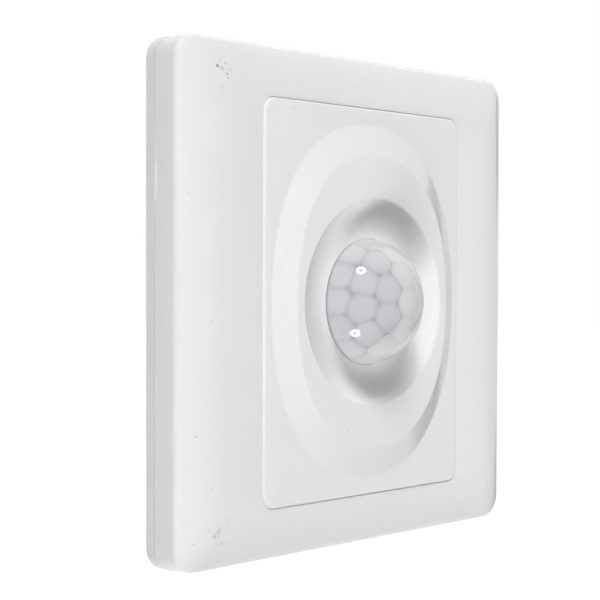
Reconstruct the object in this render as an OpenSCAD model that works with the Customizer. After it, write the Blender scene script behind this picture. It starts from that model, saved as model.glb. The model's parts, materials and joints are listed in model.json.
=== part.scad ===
// Motion sensor light switch for a square wall box
// Lengths are in millimetres. Pieces are drawn with x to the right, y up and z out of the wall,
// then stood upright: the wall face lies in the plane y = 0 and the front looks along -y.

/* [Wall plate] */
// Width and height of the square plate and of the cover on it
plate_size = 86; // [82:0.5:92]
// Corner radius of plate and cover seen from the front
plate_corner_r = 4; // [3:0.25:6]
// Thickness of the mounting plate
plate_t = 2; // [1.6:0.1:3]
// Distance between the two wall screws
wall_screw_spacing = 60.3; // [60:0.1:63]
// Width of a wall screw slot
wall_slot_w = 4.5; // [4:0.1:5]
// Length of a wall screw slot from end to end
wall_slot_l = 6.5; // [5.5:0.1:7]
// Height of the lip that centres the cover
lip_h = 2.4; // [1.5:0.1:3]
// Thickness of that lip
lip_t = 1.4; // [1:0.1:1.8]

/* [Cover frame] */
// Height of the cover above the mounting plate
cover_h = 7.2; // [6.6:0.1:9]
// Wall thickness of the cover
cover_wall = 2; // [1.6:0.1:2.4]
// Width of the rounded border
pillow_w = 9; // [7:0.5:10]
// Fall of the rounded border from the flat to the edge
pillow_drop = 2.4; // [1.5:0.1:3.2]
// Rounding where the border meets the side wall
edge_r = 1; // [0.4:0.1:1.4]
// Depth of the collar round the window
collar_h = 3.5; // [2.5:0.1:4]
// Thickness of that collar
collar_t = 1.4; // [1:0.1:2]
// Length of the pry notch in the left side
notch_l = 6.1; // [4:0.1:10]
// Height of the pry notch
notch_h = 0.9; // [0.5:0.1:1.5]
// Depth of the pry notch into the wall of the cover
notch_depth = 0.8; // [0.4:0.1:1.4]
// Height of the middle of the notch above the centre
notch_y = 20; // [10:0.5:28]
// Height of a clip above or below the centre
clip_y = 20; // [12:0.5:26]
// Width of a clip tongue
clip_w = 8; // [5:0.5:12]
// Thickness of a clip tongue
clip_t = 1.4; // [1:0.1:1.8]
// Reach of the barb at the end of a clip
clip_barb = 0.4; // [0.2:0.1:0.6]

/* [Sensor panel] */
// Width of the panel
panel_w = 52; // [50.5:0.25:53.5]
// Height of the panel
panel_h = 68; // [66:0.25:70]
// Corner radius of the panel
panel_corner_r = 2.5; // [1.5:0.25:4]
// Thickness of the panel
panel_t = 2; // [1.6:0.1:2.4]
// Height of the panel above the frame round it
panel_proud = 0.6; // [0.2:0.1:1.2]
// Rounding of the panel's front edge
panel_edge_r = 0.8; // [0.4:0.1:1.2]
// Width of the oval mound at its foot
mound_w = 49.3; // [46:0.1:50]
// Height of the oval mound at its foot
mound_h = 62; // [58:0.5:64]
// Width of the sloped band round the mound
mound_slope_w = 3.8; // [3:0.1:5]
// Rise of the mound above the panel
mound_rise = 2.1; // [1.5:0.1:3]
// Diameter of the dish round the lens
dish_d = 36.3; // [34:0.1:39]
// Depth of the dish under the top of the mound
dish_depth = 2; // [1.7:0.1:3]
// Step from the panel's edge in to its skirt
skirt_step = 1.5; // [1:0.1:2]
// Thickness of the skirt
skirt_t = 1.8; // [1.4:0.1:2.2]
// Radius of a screw boss
boss_r = 3.2; // [2.8:0.1:3.6]
// Depth a boss is sunk into the skirt beside it
boss_sink = 0.6; // [0.4:0.1:1]
// Rounding at the top edge of the mound
mound_top_r = 3; // [1:0.25:4]
// Rounding at the foot of the mound
mound_foot_r = 2; // [0.5:0.25:3]
// Rounding at the rim of the dish
dish_rim_r = 1.5; // [0.3:0.1:2]

/* [Lens] */
// Outer radius of the dome
lens_r = 11.3; // [10:0.1:12]
// Height of the middle of the dome above the back of the panel
lens_lift = 0.2; // [0:0.1:0.8]
// Wall left in the grooves between the lenslets
lens_wall = 0.45; // [0.35:0.05:0.8]
// Radius of the inner face of a lenslet
lenslet_r = 7; // [6:0.25:8]
// Height of a lenslet over the grooves
lenslet_rise = 0.8; // [0.5:0.05:1]
// Reach of the flange beyond the dome
flange_reach = 1.8; // [1.2:0.1:2.5]
// Thickness of the flange
flange_t = 1; // [0.8:0.1:1.4]

/* [Sensor board] */
// Thickness of both circuit boards
board_t = 1.6; // [1.2:0.1:2]
// Height of the rests the sensor board lies on
board_rest_h = 1; // [0.8:0.1:1.4]
// Thickness of those rests
board_rest_t = 1.5; // [1:0.1:2]
// Radius of the sensor can
can_r = 4.1; // [3.8:0.1:4.4]
// Radius of the sensor can's brim
can_brim_r = 4.6; // [4.5:0.1:4.8]
// Height of the sensor can
can_h = 4.2; // [3.6:0.1:4.6]
// Thickness of the insulating ring under the can
can_spacer_t = 0.4; // [0.3:0.1:0.8]
// Width of the filter window
filter_w = 4; // [3:0.1:4.4]
// Height of the filter window
filter_h = 3.2; // [2.5:0.1:4]
// Radius of the photocell
photocell_r = 2.15; // [1.8:0.05:2.3]
// Height of the photocell over its board
photocell_lift = 1.5; // [1:0.1:2]
// Distance of the photocell from the sensor's middle
photocell_out = 7.4; // [7.1:0.1:7.8]
// Thickness of the photocell
photocell_t = 1.8; // [1.4:0.1:2.2]
// Length of the control chip
chip_w = 9.9; // [8:0.1:10.4]
// Width of the control chip's case
chip_h = 3.9; // [3.4:0.1:4.2]
// Thickness of the control chip's case
chip_t = 1.5; // [1.2:0.1:1.8]
// Distance from lead to lead of the control chip
chip_lead_pitch = 1.27; // [1:0.01:1.3]
// Reach of a lead beyond the control chip's case
chip_lead_reach = 1.05; // [0.8:0.05:1.3]
// Radius of a timing capacitor
cap_r = 2; // [1.6:0.1:2.2]
// Height of a timing capacitor over the board
cap_h = 3; // [2.6:0.1:3.6]
// Thickness of a timing capacitor's foot
cap_foot_t = 0.7; // [0.5:0.1:1]
// Distance of a timing capacitor to the side of the middle
cap_x = 9; // [6:0.5:12]
// Distance of a timing capacitor's foot from the edge of its board
cap_edge = 0.4; // [0.2:0.1:1]
// Length of a chip resistor
resistor_l = 2; // [1.6:0.1:3.2]
// Width of a chip resistor
resistor_w = 1.2; // [0.8:0.1:1.6]
// Thickness of a chip resistor
resistor_t = 0.55; // [0.4:0.05:0.7]
// Distance of the upper chip resistors from the middle
resistor_high = 13; // [12:0.5:15]
// Distance of the lower chip resistors from the middle
resistor_low = 14; // [12:0.5:15]
// Distance from one chip resistor to the next
resistor_pitch = 3; // [2:0.1:3.5]
// Height of the pin strip's middle above the centre
header_y = 4; // [2:0.5:5]
// Distance of the pin strip from the edge of the power board
header_edge = 2.6; // [2.2:0.1:3]
// Distance from pin to pin in the strip
header_pitch = 2.54; // [2:0.01:2.54]
// Height of the pin strip's body
header_strip_h = 2.5; // [2:0.1:3]
// Width of the pin strip's body
header_strip_w = 2.5; // [2.2:0.1:2.6]

/* [Rear housing] */
// Depth of the housing behind the wall face
house_depth = 17; // [16.5:0.5:23]
// Wall thickness of the housing
house_wall = 2; // [1.6:0.1:2.4]
// Thickness of the housing's front flange
house_flange_t = 2; // [1.6:0.1:2.5]
// Corner radius of the housing
house_corner_r = 3; // [2.5:0.25:4]
// Step from the flange in to the housing's sides
house_step = 2.25; // [1.5:0.25:3]
// Radius of a post under the power board
post_r = 2.6; // [2.2:0.1:3]
// Number of slots in the top of the housing
vent_count = 5; // [3:1:6]
// Width of a vent slot
vent_w = 1.6; // [1:0.1:2]
// Length of a vent slot
vent_l = 9; // [6:0.5:10]

/* [Terminals] */
// Distance from one terminal to the next
way_pitch = 7.6; // [7:0.1:8]
// Thickness of the block's roof
term_roof_t = 1; // [0.8:0.1:1.2]
// Thickness of the shoulder under a screw head
term_shoulder_t = 0.8; // [0.6:0.1:1]
// Thickness of the block's floor on the board
term_floor_t = 1; // [0.8:0.1:1.2]
// Thickness of the block's wall at the wire entries
term_front_t = 2; // [1.6:0.1:2.4]
// Thickness of the block's wall behind the contacts
term_back_t = 1; // [0.8:0.1:1.4]
// Radius of a wire entry
wire_r = 1.2; // [1:0.05:1.25]
// Width of a cage
cage_w = 5; // [4.6:0.1:5.2]
// Length of a cage along the wire
cage_l = 5.5; // [5:0.1:6]
// Thickness of the cage wall that carries the thread
cage_top_t = 1.5; // [1.3:0.1:1.7]
// Height of the cage's window
cage_window_h = 3.4; // [3.2:0.1:3.6]
// Thickness of the cage's pressing wall
cage_press_t = 1.2; // [1:0.1:1.4]
// Thickness of the cage's sides
cage_side_t = 0.8; // [0.6:0.1:0.9]
// Way a cage rises when its screw is driven home
cage_travel = 1.8; // [1.4:0.1:1.9]
// Radius of a terminal screw
term_screw_r = 1.45; // [1.3:0.05:1.5]
// Radius of a terminal screw's head
term_head_r = 2.2; // [2:0.05:2.4]
// Height of a terminal screw's head
term_head_h = 1.5; // [1.2:0.1:1.8]
// Width of a contact tongue
tongue_w = 2.6; // [2:0.1:2.8]
// Thickness of a contact tongue
tongue_t = 0.8; // [0.6:0.1:0.9]

/* [Power parts] */
// Length of the relay
relay_l = 20.5; // [18:0.5:21]
// Width of the relay
relay_w = 10.2; // [9.5:0.1:10.6]
// Height of the relay
relay_h = 10.6; // [9:0.1:11]
// Length of the film capacitor
film_l = 18; // [13:0.5:18.5]
// Width of the film capacitor
film_w = 7.5; // [6:0.1:8]
// Height of the film capacitor
film_h = 10.5; // [9:0.1:11]
// Radius of the smoothing capacitor
smooth_r = 4; // [3:0.1:4.2]
// Height of the smoothing capacitor
smooth_h = 10; // [8:0.1:11]
// Length of the rectifier
rect_l = 8.4; // [7:0.1:9]
// Width of the rectifier
rect_w = 6.4; // [5:0.1:6.6]
// Height of the rectifier
rect_h = 3; // [2.5:0.1:3.5]
// Radius of the fuse
fuse_r = 4.2; // [3:0.1:4.3]
// Height of the fuse
fuse_h = 7.6; // [6:0.1:9]
// Radius of the varistor
varistor_r = 4.5; // [3.5:0.1:5]
// Thickness of the varistor
varistor_t = 3.8; // [3:0.1:4.2]
// Room between neighbouring power parts
part_room = 1; // [0.6:0.1:1.2]
// Room between the tallest power part and the floor of the housing
floor_room = 0.4; // [0.2:0.1:1]

/* [Setting trimmers] */
// Width of a trimmer's body
trim_w = 6.6; // [6:0.1:7]
// Height of a trimmer's body
trim_h = 4.8; // [4:0.1:5.5]
// Radius of the pivot in the body
trim_pivot_r = 1.65; // [1.5:0.05:1.9]
// Radius of the rotor's brim
trim_brim_r = 2.6; // [2.3:0.1:2.8]
// Radius of the rotor's shaft
trim_shaft_r = 1.5; // [1.2:0.05:1.6]
// Distance of a trimmer to the side of the middle
trim_x = 9; // [7:0.5:11]
// Room between a trimmer and the film capacitor below it
trim_room = 1; // [0.6:0.1:2]
// Radius of the round recess in the housing at a trimmer
dial_r = 4; // [3:0.1:5]

/* [Screws] */
// Radius of a housing screw
house_screw_r = 1.3; // [1.1:0.05:1.4]
// Radius of a housing screw's head
house_head_r = 2.5; // [2.2:0.1:2.8]
// Height of a housing screw's head
house_head_h = 1.7; // [1.4:0.1:2]
// Depth a housing screw bites into its boss
house_bite = 5; // [4:0.1:5.5]
// Radius of a board screw
board_screw_r = 1; // [0.9:0.05:1.2]
// Length of a board screw under its head
board_screw_l = 7; // [5:0.5:9]

/* [Fits] */
// Gap between panel and frame
panel_gap = 0.2; // [0.1:0.05:0.4]
// Gap at each side of a piece that slides
slide_gap = 0.15; // [0.1:0.05:0.2]
// Gap round a piece that turns
turn_gap = 0.05; // [0.03:0.01:0.08]
// Gap round a screw in a plain hole
hole_gap = 0.3; // [0.2:0.05:0.4]
// Gap round a board in the housing
board_gap = 0.3; // [0.2:0.05:0.5]

/* [Hidden] */
$fn = 64;

// Overshoot of a cut past the face it opens
over = 1;
// Steps in which a small rounding on the oval mound is drawn
arc_steps = 5;

// Levels of the front pieces, out of the wall
z_cover_front = plate_t + cover_h;
z_panel_front = z_cover_front + panel_proud;
z_panel_back = z_panel_front - panel_t;
z_mound_top = z_panel_front + mound_rise;
z_dish_floor = z_mound_top - dish_depth;
z_lens = z_panel_back + lens_lift;
z_flange_back = z_panel_back - flange_t;
z_board_back = plate_t + board_rest_h;
z_board_front = z_board_back + board_t;
z_can_base = z_board_front + can_spacer_t;

// Cover
pillow_r = (pow(pillow_w, 2) + pow(pillow_drop, 2)) / (2 * pillow_drop);
pillow_start = plate_size / 2 - pillow_w;
window_w = panel_w + 2 * panel_gap;
window_h = panel_h + 2 * panel_gap;
window_r = panel_corner_r + panel_gap;
lip_out = plate_size / 2 - cover_wall - slide_gap;
lip_in = lip_out - lip_t;
lip_corner_r = max(plate_corner_r - cover_wall - slide_gap, 0.5);
clip_x = lip_in - clip_barb - clip_t / 2 - 2 * slide_gap;
z_clip_tip = plate_t / 4;
barb_l = plate_t * 0.6;
barb_sink = 0.2;

// Panel
mound_ratio = mound_h / mound_w;
mound_r = mound_w / 2;
lens_hole_r = lens_r + slide_gap;
dish_run = dish_d / 2 - lens_hole_r;
dish_r = (pow(dish_run, 2) + pow(dish_depth, 2)) / (2 * dish_depth);
dish_wall = 1.4;
skirt_w = panel_w - 2 * skirt_step;
skirt_h = panel_h - 2 * skirt_step;
skirt_in_w = skirt_w - 2 * skirt_t;
skirt_in_h = skirt_h - 2 * skirt_t;
skirt_corner_r = 2;
boss_x = skirt_in_w / 2 - boss_r + boss_sink;
boss_y = skirt_in_h / 2 - boss_r + boss_sink;
bosses = [[-boss_x, -boss_y], [boss_x, -boss_y], [boss_x, boss_y], [-boss_x, boss_y]];

// Lens: one lenslet at the top of the dome and three rings round it
ring_tilt = [0, 25, 48, 70.5];
ring_count = [1, 6, 11, 14];
ring_turn = [0, 30, 187, 179];
groove_r = lens_r - lens_wall;
lenslet_out = groove_r - lenslet_rise + lenslet_r;
flange_r = lens_r + flange_reach;

// Lens holder
holder_in_r = lens_r - 0.4;
holder_seat_r = flange_r + slide_gap;
holder_out_r = holder_seat_r + 1;
peg_r = 1;
peg_out = (holder_in_r + holder_out_r) / 2;
peg_turn = [90, 210, 330];

// Housing
z_house_back = -house_depth;
z_house_floor = z_house_back + house_wall;
body_w = skirt_w - 2 * house_step;
body_h = 2 * (boss_y - house_head_r - hole_gap);
body_in_w = body_w - 2 * house_wall;
body_in_h = body_h - 2 * house_wall;
body_in_r = max(house_corner_r - house_wall, 0.5);

// Terminal stack, measured from the rear face of the block towards the wall face
head_gap = 0.1;
t_head = term_roof_t;
t_shoulder = t_head + term_head_h + head_gap;
t_chamber = t_shoulder + term_shoulder_t;
t_cage = t_chamber + head_gap + cage_travel;
t_window = t_cage + cage_top_t;
t_press = t_window + cage_window_h;
cage_h = cage_top_t + cage_window_h + cage_press_t;
t_chamber_end = t_cage + cage_h + head_gap;
tallest = max(relay_h, film_h, smooth_h, fuse_h, 2 * varistor_r);
term_h = max(t_chamber_end + term_floor_t, house_wall + floor_room + tallest);
t_tongue = t_window + head_gap;
t_wire = (t_tongue + tongue_t + t_press) / 2;
term_w = 3 * way_pitch + 1.2;
y_term_front = -body_h / 2;
y_chamber = y_term_front + term_front_t;
y_cage = y_chamber + slide_gap;
y_way = y_cage + cage_l / 2;
y_leg = y_cage + cage_l + 2 * slide_gap;
y_chamber_end = y_leg + tongue_t + slide_gap;
y_term_back = y_chamber_end + term_back_t;
chamber_w = cage_w + 2 * slide_gap;
pin_w = 1;

// Power board
z_power_back = z_house_back + term_h;
z_power_front = z_power_back + board_t;
power_w = body_in_w - 2 * board_gap;
power_h = body_in_h - 2 * board_gap;
post_x = power_w / 2 - post_r - 0.5;
post_y = power_h / 2 - post_r - 0.5;
posts = [[-post_x, -post_y], [post_x, -post_y], [post_x, post_y], [-post_x, post_y]];
screwed_posts = [[post_x, -post_y], [-post_x, post_y]];
// Room left beyond the end of a screw in its hole
screw_room = 0.5;
board_head_r = 1.9;
board_head_h = 1.3;
board_cross_l = 2.4;
board_cross_w = 0.5;
board_cross_h = 0.8;

// Sensor board
rest_in_w = body_in_w - 1;
rest_in_h = 2 * (boss_y - boss_r - board_gap - board_rest_t);
sense_w = rest_in_w + 2 * board_rest_t + 2 * board_gap;
sense_h = rest_in_h + 2 * board_rest_t - 2 * board_gap;

// Leads and small steps of the parts on the sensor board
lead_r = 0.23;
lead_hole_r = 0.4;
lead_stub = 0.8;
lead_bite = 0.2;
can_lead_out = 2.54;
can_brim_t = 0.5;
spacer_step = 0.2;
filter_sink = 0.3;
filter_proud = 0.1;
cell_turn = 225;
cell_lead_pitch = 2.4;
cell_bite = 0.3;
chip_stand = 0.1;
chip_lead_w = 0.4;
chip_lead_t = 0.3;
cap_foot_reach = 0.15;
cap_sink = 0.3;
pin_stub = 1;

// Places of the power parts: a left row and a right row behind the board, above the terminals
relay_y = y_term_back + part_room + relay_w / 2;
rect_y = relay_y + relay_w / 2 + part_room + rect_w / 2;
film_y = rect_y + rect_w / 2 + part_room + film_w / 2;
left_x = -post_x + board_head_r + relay_l / 2 - 1;
right_x = max(post_x - board_head_r - smooth_r + 1, left_x + relay_l / 2 + part_room + fuse_r);
fuse_y = y_term_back + part_room + fuse_r;
varistor_y = fuse_y + fuse_r + part_room + varistor_t / 2;
smooth_y = varistor_y + varistor_t / 2 + part_room + smooth_r;

// Pin strip between the boards
header_x = -power_w / 2 + header_edge;
header_pins = 5;
header_pin_w = 0.64;
header_hole_r = header_pin_w * 0.75;

// Trimmers
trim_y = film_y + film_w / 2 + trim_room + trim_w / 2;
z_trim_face = z_power_back - trim_h;
pivot_h = 2;
brim_t = 0.8;
dial_depth = 0.6;
z_rotor_end = z_house_back + dial_depth / 3;

// Stands a piece upright against the wall
module upright() {
    rotate([90, 0, 0]) children();
}

// Copies a piece to each of the listed places
module at_each(places) {
    for (p = places) translate([p[0], p[1], 0]) children();
}

// Flat oblong with rounded corners
module rounded_rect(w, h, r) {
    square([w, h - 2 * r], center = true);
    square([w - 2 * r, h], center = true);
    for (x = [-1, 1], y = [-1, 1])
        translate([x * (w / 2 - r), y * (h / 2 - r)]) circle(r);
}

// Oblong block with rounded corners between two levels
module rounded_box(w, h, r, z0, z1) {
    translate([0, 0, z0]) linear_extrude(height = z1 - z0) rounded_rect(w, h, r);
}

// Open oblong wall of thickness t inside the given outline
module rounded_ring(w, h, r, t, z0, z1) {
    translate([0, 0, z0]) linear_extrude(height = z1 - z0) difference() {
        rounded_rect(w, h, r);
        rounded_rect(w - 2 * t, h - 2 * t, max(r - t, 0.3));
    }
}

// Block from one corner to the other
module block(x0, x1, y0, y1, z0, z1) {
    translate([x0, y0, z0]) cube([x1 - x0, y1 - y0, z1 - z0]);
}

// Round bar along z between two levels
module bar(r, z0, z1) {
    translate([0, 0, z0]) cylinder(r = r, h = z1 - z0);
}

// Section of a rounded front edge, from the corner's middle outwards
module edge_section(r, t, e) {
    square([r, t - e]);
    square([r - e, t]);
    translate([r - e, t - e]) circle(e);
}

// Slab with rounded corners and a rounded front edge
module soft_slab(w, h, r, z0, z1, e) {
    t = z1 - z0;
    dx = w / 2 - r;
    dy = h / 2 - r;
    translate([0, 0, z0]) {
        block(-dx, dx, -dy, dy, 0, t);
        for (k = [0, 1]) rotate([0, 0, 180 * k]) {
            translate([dx, dy, 0]) rotate([90, 0, 0]) linear_extrude(height = 2 * dy) edge_section(r, t, e);
            translate([-dx, dy, 0]) rotate([90, 0, 90]) linear_extrude(height = 2 * dx) edge_section(r, t, e);
            translate([dx, dy, 0]) rotate_extrude(angle = 90) edge_section(r, t, e);
            translate([-dx, dy, 0]) rotate([0, 0, 90]) rotate_extrude(angle = 90) edge_section(r, t, e);
        }
    }
}

// Section of the pillow border from the middle of the cover to its edge
module pillow_section(inset, z0) {
    top = z_cover_front - inset;
    half = plate_size / 2 - inset;
    r = pillow_r - inset;
    translate([0, z0]) square([pillow_start, top - z0]);
    intersection() {
        translate([pillow_start, top - r]) circle(r, $fn = 240);
        translate([pillow_start, z0]) square([half - pillow_start, top - z0]);
    }
}

// The same section with its outer edge rounded
module pillow_section_soft(z0) {
    half = plate_size / 2;
    round_x = half - edge_r;
    arc_z = z_cover_front - pillow_r;
    round_z = arc_z + sqrt(pow(pillow_r - edge_r, 2) - pow(pillow_w - edge_r, 2));
    meet_x = pillow_start + (round_x - pillow_start) * pillow_r / (pillow_r - edge_r);
    intersection() {
        pillow_section(0, z0);
        translate([0, z0]) square([meet_x, cover_h + over]);
    }
    translate([pillow_start, z0]) square([half - pillow_start, round_z - z0]);
    translate([round_x, round_z]) circle(edge_r);
}

// Square block with the pillow border: four mitred quarters inside a rounded outline
module pillow_block(inset, z0) {
    half = plate_size / 2 - inset;
    intersection() {
        union() {
            for (k = [0:3]) rotate([0, 0, 90 * k]) intersection() {
                rotate([90, 0, 0]) linear_extrude(height = 2 * half, center = true)
                    if (inset > 0) pillow_section(inset, z0);
                    else pillow_section_soft(z0);
                translate([0, 0, z0 - over]) linear_extrude(height = cover_h + 4 * over)
                    polygon([[0, 0], [half, -half], [half, half]]);
            }
        }
        rounded_box(2 * half, 2 * half, max(plate_corner_r - inset, 0.5), z0 - over, z_cover_front + over);
    }
}

// Clip tongue on the right, with its barb outwards
module clip() {
    block(clip_x - clip_t / 2, clip_x + clip_t / 2, -clip_w / 2, clip_w / 2,
        z_clip_tip, z_cover_front - cover_wall);
    translate([clip_x + clip_t / 2, clip_w / 2, z_clip_tip]) rotate([90, 0, 0])
        linear_extrude(height = clip_w)
            polygon([[-barb_sink, 0], [0, 0], [clip_barb, barb_l / 2], [0, barb_l], [-barb_sink, barb_l]]);
}

// Front frame that clips over the plate
module cover_frame() {
    color("white") upright() difference() {
        union() {
            difference() {
                pillow_block(0, plate_t);
                pillow_block(cover_wall, plate_t - over);
            }
            rounded_box(window_w + 2 * collar_t, window_h + 2 * collar_t, window_r + collar_t,
                z_cover_front - collar_h, z_cover_front - cover_wall / 2);
            for (side = [0, 180], y = [-clip_y, clip_y])
                rotate([0, 0, side]) translate([0, y, 0]) clip();
        }
        rounded_box(window_w, window_h, window_r, plate_t - over, z_cover_front + over);
        block(-plate_size / 2 - over, -plate_size / 2 + notch_depth,
            notch_y - notch_l / 2, notch_y + notch_l / 2, plate_t - over, plate_t + notch_h);
    }
}

// Slot for a wall screw, long across
module wall_slot() {
    run = (wall_slot_l - wall_slot_w) / 2;
    block(-run, run, -wall_slot_w / 2, wall_slot_w / 2, -over, plate_t + over);
    for (x = [-run, run]) translate([x, 0, 0]) bar(wall_slot_w / 2, -over, plate_t + over);
}

// Plate held to the wall box
module mounting_plate() {
    color("whitesmoke") upright() difference() {
        union() {
            rounded_box(plate_size, plate_size, plate_corner_r, 0, plate_t);
            rounded_ring(2 * lip_out, 2 * lip_out, lip_corner_r, lip_t, plate_t / 2, plate_t + lip_h);
            rounded_ring(rest_in_w + 2 * board_rest_t, rest_in_h + 2 * board_rest_t, 1.8, board_rest_t,
                plate_t / 2, z_board_back);
        }
        rounded_box(rest_in_w, rest_in_h, 0.3, -over, z_board_back + over);
        for (side = [-1, 1]) translate([side * wall_screw_spacing / 2, 0, 0]) wall_slot();
        at_each(bosses) bar(house_screw_r + hole_gap, -over, plate_t + over);
        for (side = [0, 180], y = [-clip_y, clip_y]) rotate([0, 0, side])
            block(clip_x - clip_t / 2 - slide_gap, clip_x + clip_t / 2 + clip_barb + slide_gap,
                y - clip_w / 2 - slide_gap, y + clip_w / 2 + slide_gap, -over, plate_t + over);
    }
}

// Point at distance d from corner b on the way to a
function on_way(b, a, d) = b + (a - b) * d / norm(a - b);

// Points of an arc of radius r round c
function arc(c, r, from, to) = [for (i = [0:arc_steps]) let (a = from + (to - from) * i / arc_steps)
    c + r * [cos(a), sin(a)]];

// Half section of the mound, with its foot and its top edge rounded
module mound_section() {
    slope = atan(mound_rise / mound_slope_w);
    foot = [mound_r + mound_foot_r * tan(slope / 2), mound_foot_r];
    crest = [mound_r - mound_slope_w - mound_top_r * tan(slope / 2), mound_rise - mound_top_r];
    polygon(concat([[0, -panel_t / 2], [foot[0], -panel_t / 2]],
        arc(foot, mound_foot_r, -90, -90 - slope),
        arc(crest, mound_top_r, 90 - slope, 90),
        [[0, mound_rise]]));
}

// Oval mound with its foot at level z0
module mound(z0) {
    translate([0, 0, z0]) scale([1, mound_ratio, 1]) rotate_extrude() mound_section();
}

// Half section of what the dish takes away, with a rounded rim
module dish_section() {
    bowl = [lens_hole_r, z_dish_floor + dish_r];
    rim_z = z_mound_top - dish_rim_r;
    rim_x = bowl[0] + sqrt(pow(dish_r + dish_rim_r, 2) - pow(bowl[1] - rim_z, 2));
    meet = on_way(bowl, [rim_x, rim_z], dish_r);
    intersection() {
        translate(bowl) circle(dish_r, $fn = 160);
        translate([lens_hole_r, z_dish_floor]) square([meet[0] - lens_hole_r, dish_depth + over / 2]);
    }
    difference() {
        translate(meet) square([rim_x - meet[0], z_mound_top + over / 2 - meet[1]]);
        translate([rim_x, rim_z]) circle(dish_rim_r);
    }
}

// Centre panel with the dish for the lens
module sensor_panel() {
    color("white") upright() difference() {
        union() {
            soft_slab(panel_w, panel_h, panel_corner_r, z_panel_back, z_panel_front, panel_edge_r);
            intersection() {
                mound(z_panel_front);
                rounded_box(panel_w, panel_h, panel_corner_r, z_panel_back, z_mound_top + over);
            }
            rounded_ring(skirt_w, skirt_h, skirt_corner_r, skirt_t, plate_t, z_panel_back + panel_t / 2);
            at_each(bosses) bar(boss_r, plate_t, z_panel_back + panel_t / 2);
        }
        rotate_extrude() dish_section();
        bar(lens_hole_r, plate_t, z_mound_top + over);
        difference() {
            intersection() {
                mound(z_panel_back);
                rounded_box(skirt_in_w, skirt_in_h, 1, z_panel_back - over, z_mound_top);
            }
            bar(dish_d / 2 + dish_wall, z_panel_back - 2 * over, z_mound_top);
        }
        at_each(bosses) bar(house_screw_r + turn_gap, plate_t - over, plate_t + house_bite + screw_room);
    }
}

// Domed lens, smooth outside, with lenslets inside
module fresnel_lens() {
    color("lightgrey") upright() translate([0, 0, z_lens]) difference($fn = 180) {
        union() {
            intersection() {
                sphere(lens_r);
                block(-lens_r - 1, lens_r + 1, -lens_r - 1, lens_r + 1, 0, lens_r + 1);
            }
            bar(lens_r, -lens_lift - flange_t, 0);
            bar(flange_r, -lens_lift - flange_t, -lens_lift);
        }
        difference() {
            union() {
                sphere(groove_r);
                bar(groove_r, -lens_lift - flange_t - over, 0);
            }
            for (k = [0:3], i = [0:ring_count[k] - 1])
                rotate([0, 0, ring_turn[k] + 360 * i / ring_count[k]]) rotate([0, ring_tilt[k], 0])
                    translate([0, 0, lenslet_out]) sphere(lenslet_r, $fn = 72);
        }
    }
}

// Ring that presses the lens flange against the panel
module lens_holder() {
    color("dimgray") upright() {
        rotate_extrude() polygon([[holder_in_r, z_board_front], [holder_out_r, z_board_front],
            [holder_out_r, z_panel_back - 0.2], [holder_seat_r, z_panel_back - 0.2],
            [holder_seat_r, z_flange_back], [holder_in_r, z_flange_back]]);
        for (a = peg_turn) rotate([0, 0, a]) translate([peg_out, 0, 0])
            bar(peg_r, z_board_back, z_board_front + over);
    }
}

// Places of the pins of the strip between the boards
module header_places() {
    for (i = [0:header_pins - 1])
        translate([header_x, header_y + (i - (header_pins - 1) / 2) * header_pitch, 0]) children();
}

// Places of the sensor's three leads
module lead_places() {
    for (a = [45, 135, 270]) rotate([0, 0, a]) translate([can_lead_out, 0, 0]) children();
}

// Places of the photocell's two leads
module cell_places() {
    rotate([0, 0, cell_turn]) translate([photocell_out, 0, 0])
        for (side = [-1, 1]) translate([0, side * cell_lead_pitch / 2, 0]) children();
}

// Front circuit board
module sensor_board() {
    color("green") upright() difference() {
        rounded_box(sense_w, sense_h, 1, z_board_back, z_board_front);
        header_places() bar(header_hole_r, z_board_back - over, z_board_front + over);
        lead_places() bar(lead_hole_r, z_board_back - over, z_board_front + over);
        cell_places() bar(lead_hole_r, z_board_back - over, z_board_front + over);
        for (a = peg_turn) rotate([0, 0, a]) translate([peg_out, 0, 0])
            bar(peg_r + slide_gap, z_board_back - over, z_board_front + over);
    }
}

// Insulating ring under the sensor can
module pir_spacer() {
    color("black") upright() difference() {
        bar(can_brim_r - spacer_step, z_board_front, z_can_base);
        lead_places() bar(lead_hole_r, z_board_front - over, z_can_base + over);
    }
}

// Metal can of the pyroelectric sensor with its leads
module pir_can() {
    color("silver") upright() {
        difference() {
            union() {
                bar(can_brim_r, z_can_base, z_can_base + can_brim_t);
                bar(can_r, z_can_base, z_can_base + can_h);
            }
            block(-filter_w / 2, filter_w / 2, -filter_h / 2, filter_h / 2,
                z_can_base + can_h - filter_sink, z_can_base + can_h + over);
        }
        lead_places() bar(lead_r, z_board_back - lead_stub, z_can_base + lead_bite);
    }
}

// Infrared filter in the top of the can
module pir_window() {
    color("dimgray") upright() block(-filter_w / 2, filter_w / 2, -filter_h / 2, filter_h / 2,
        z_can_base + can_h - filter_sink, z_can_base + can_h + filter_proud);
}

// Light-dependent resistor on its leads
module photocell() {
    color("orange") upright() {
        rotate([0, 0, cell_turn]) translate([photocell_out, 0, z_board_front + photocell_lift])
            bar(photocell_r, 0, photocell_t);
        cell_places() bar(lead_r, z_board_back - lead_stub, z_board_front + photocell_lift + cell_bite);
    }
}

// Controller in a small-outline case
module control_chip() {
    chip_y = (holder_out_r + sense_h / 2) / 2;
    lead_end = chip_h / 2 + chip_lead_reach;
    color("black") upright() translate([0, chip_y, z_board_front]) {
        block(-chip_w / 2, chip_w / 2, -chip_h / 2, chip_h / 2, chip_stand, chip_stand + chip_t);
        for (i = [-3.5:3.5]) translate([i * chip_lead_pitch, 0, 0])
            block(-chip_lead_w / 2, chip_lead_w / 2, -lead_end, lead_end, 0, chip_lead_t);
    }
}

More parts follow.
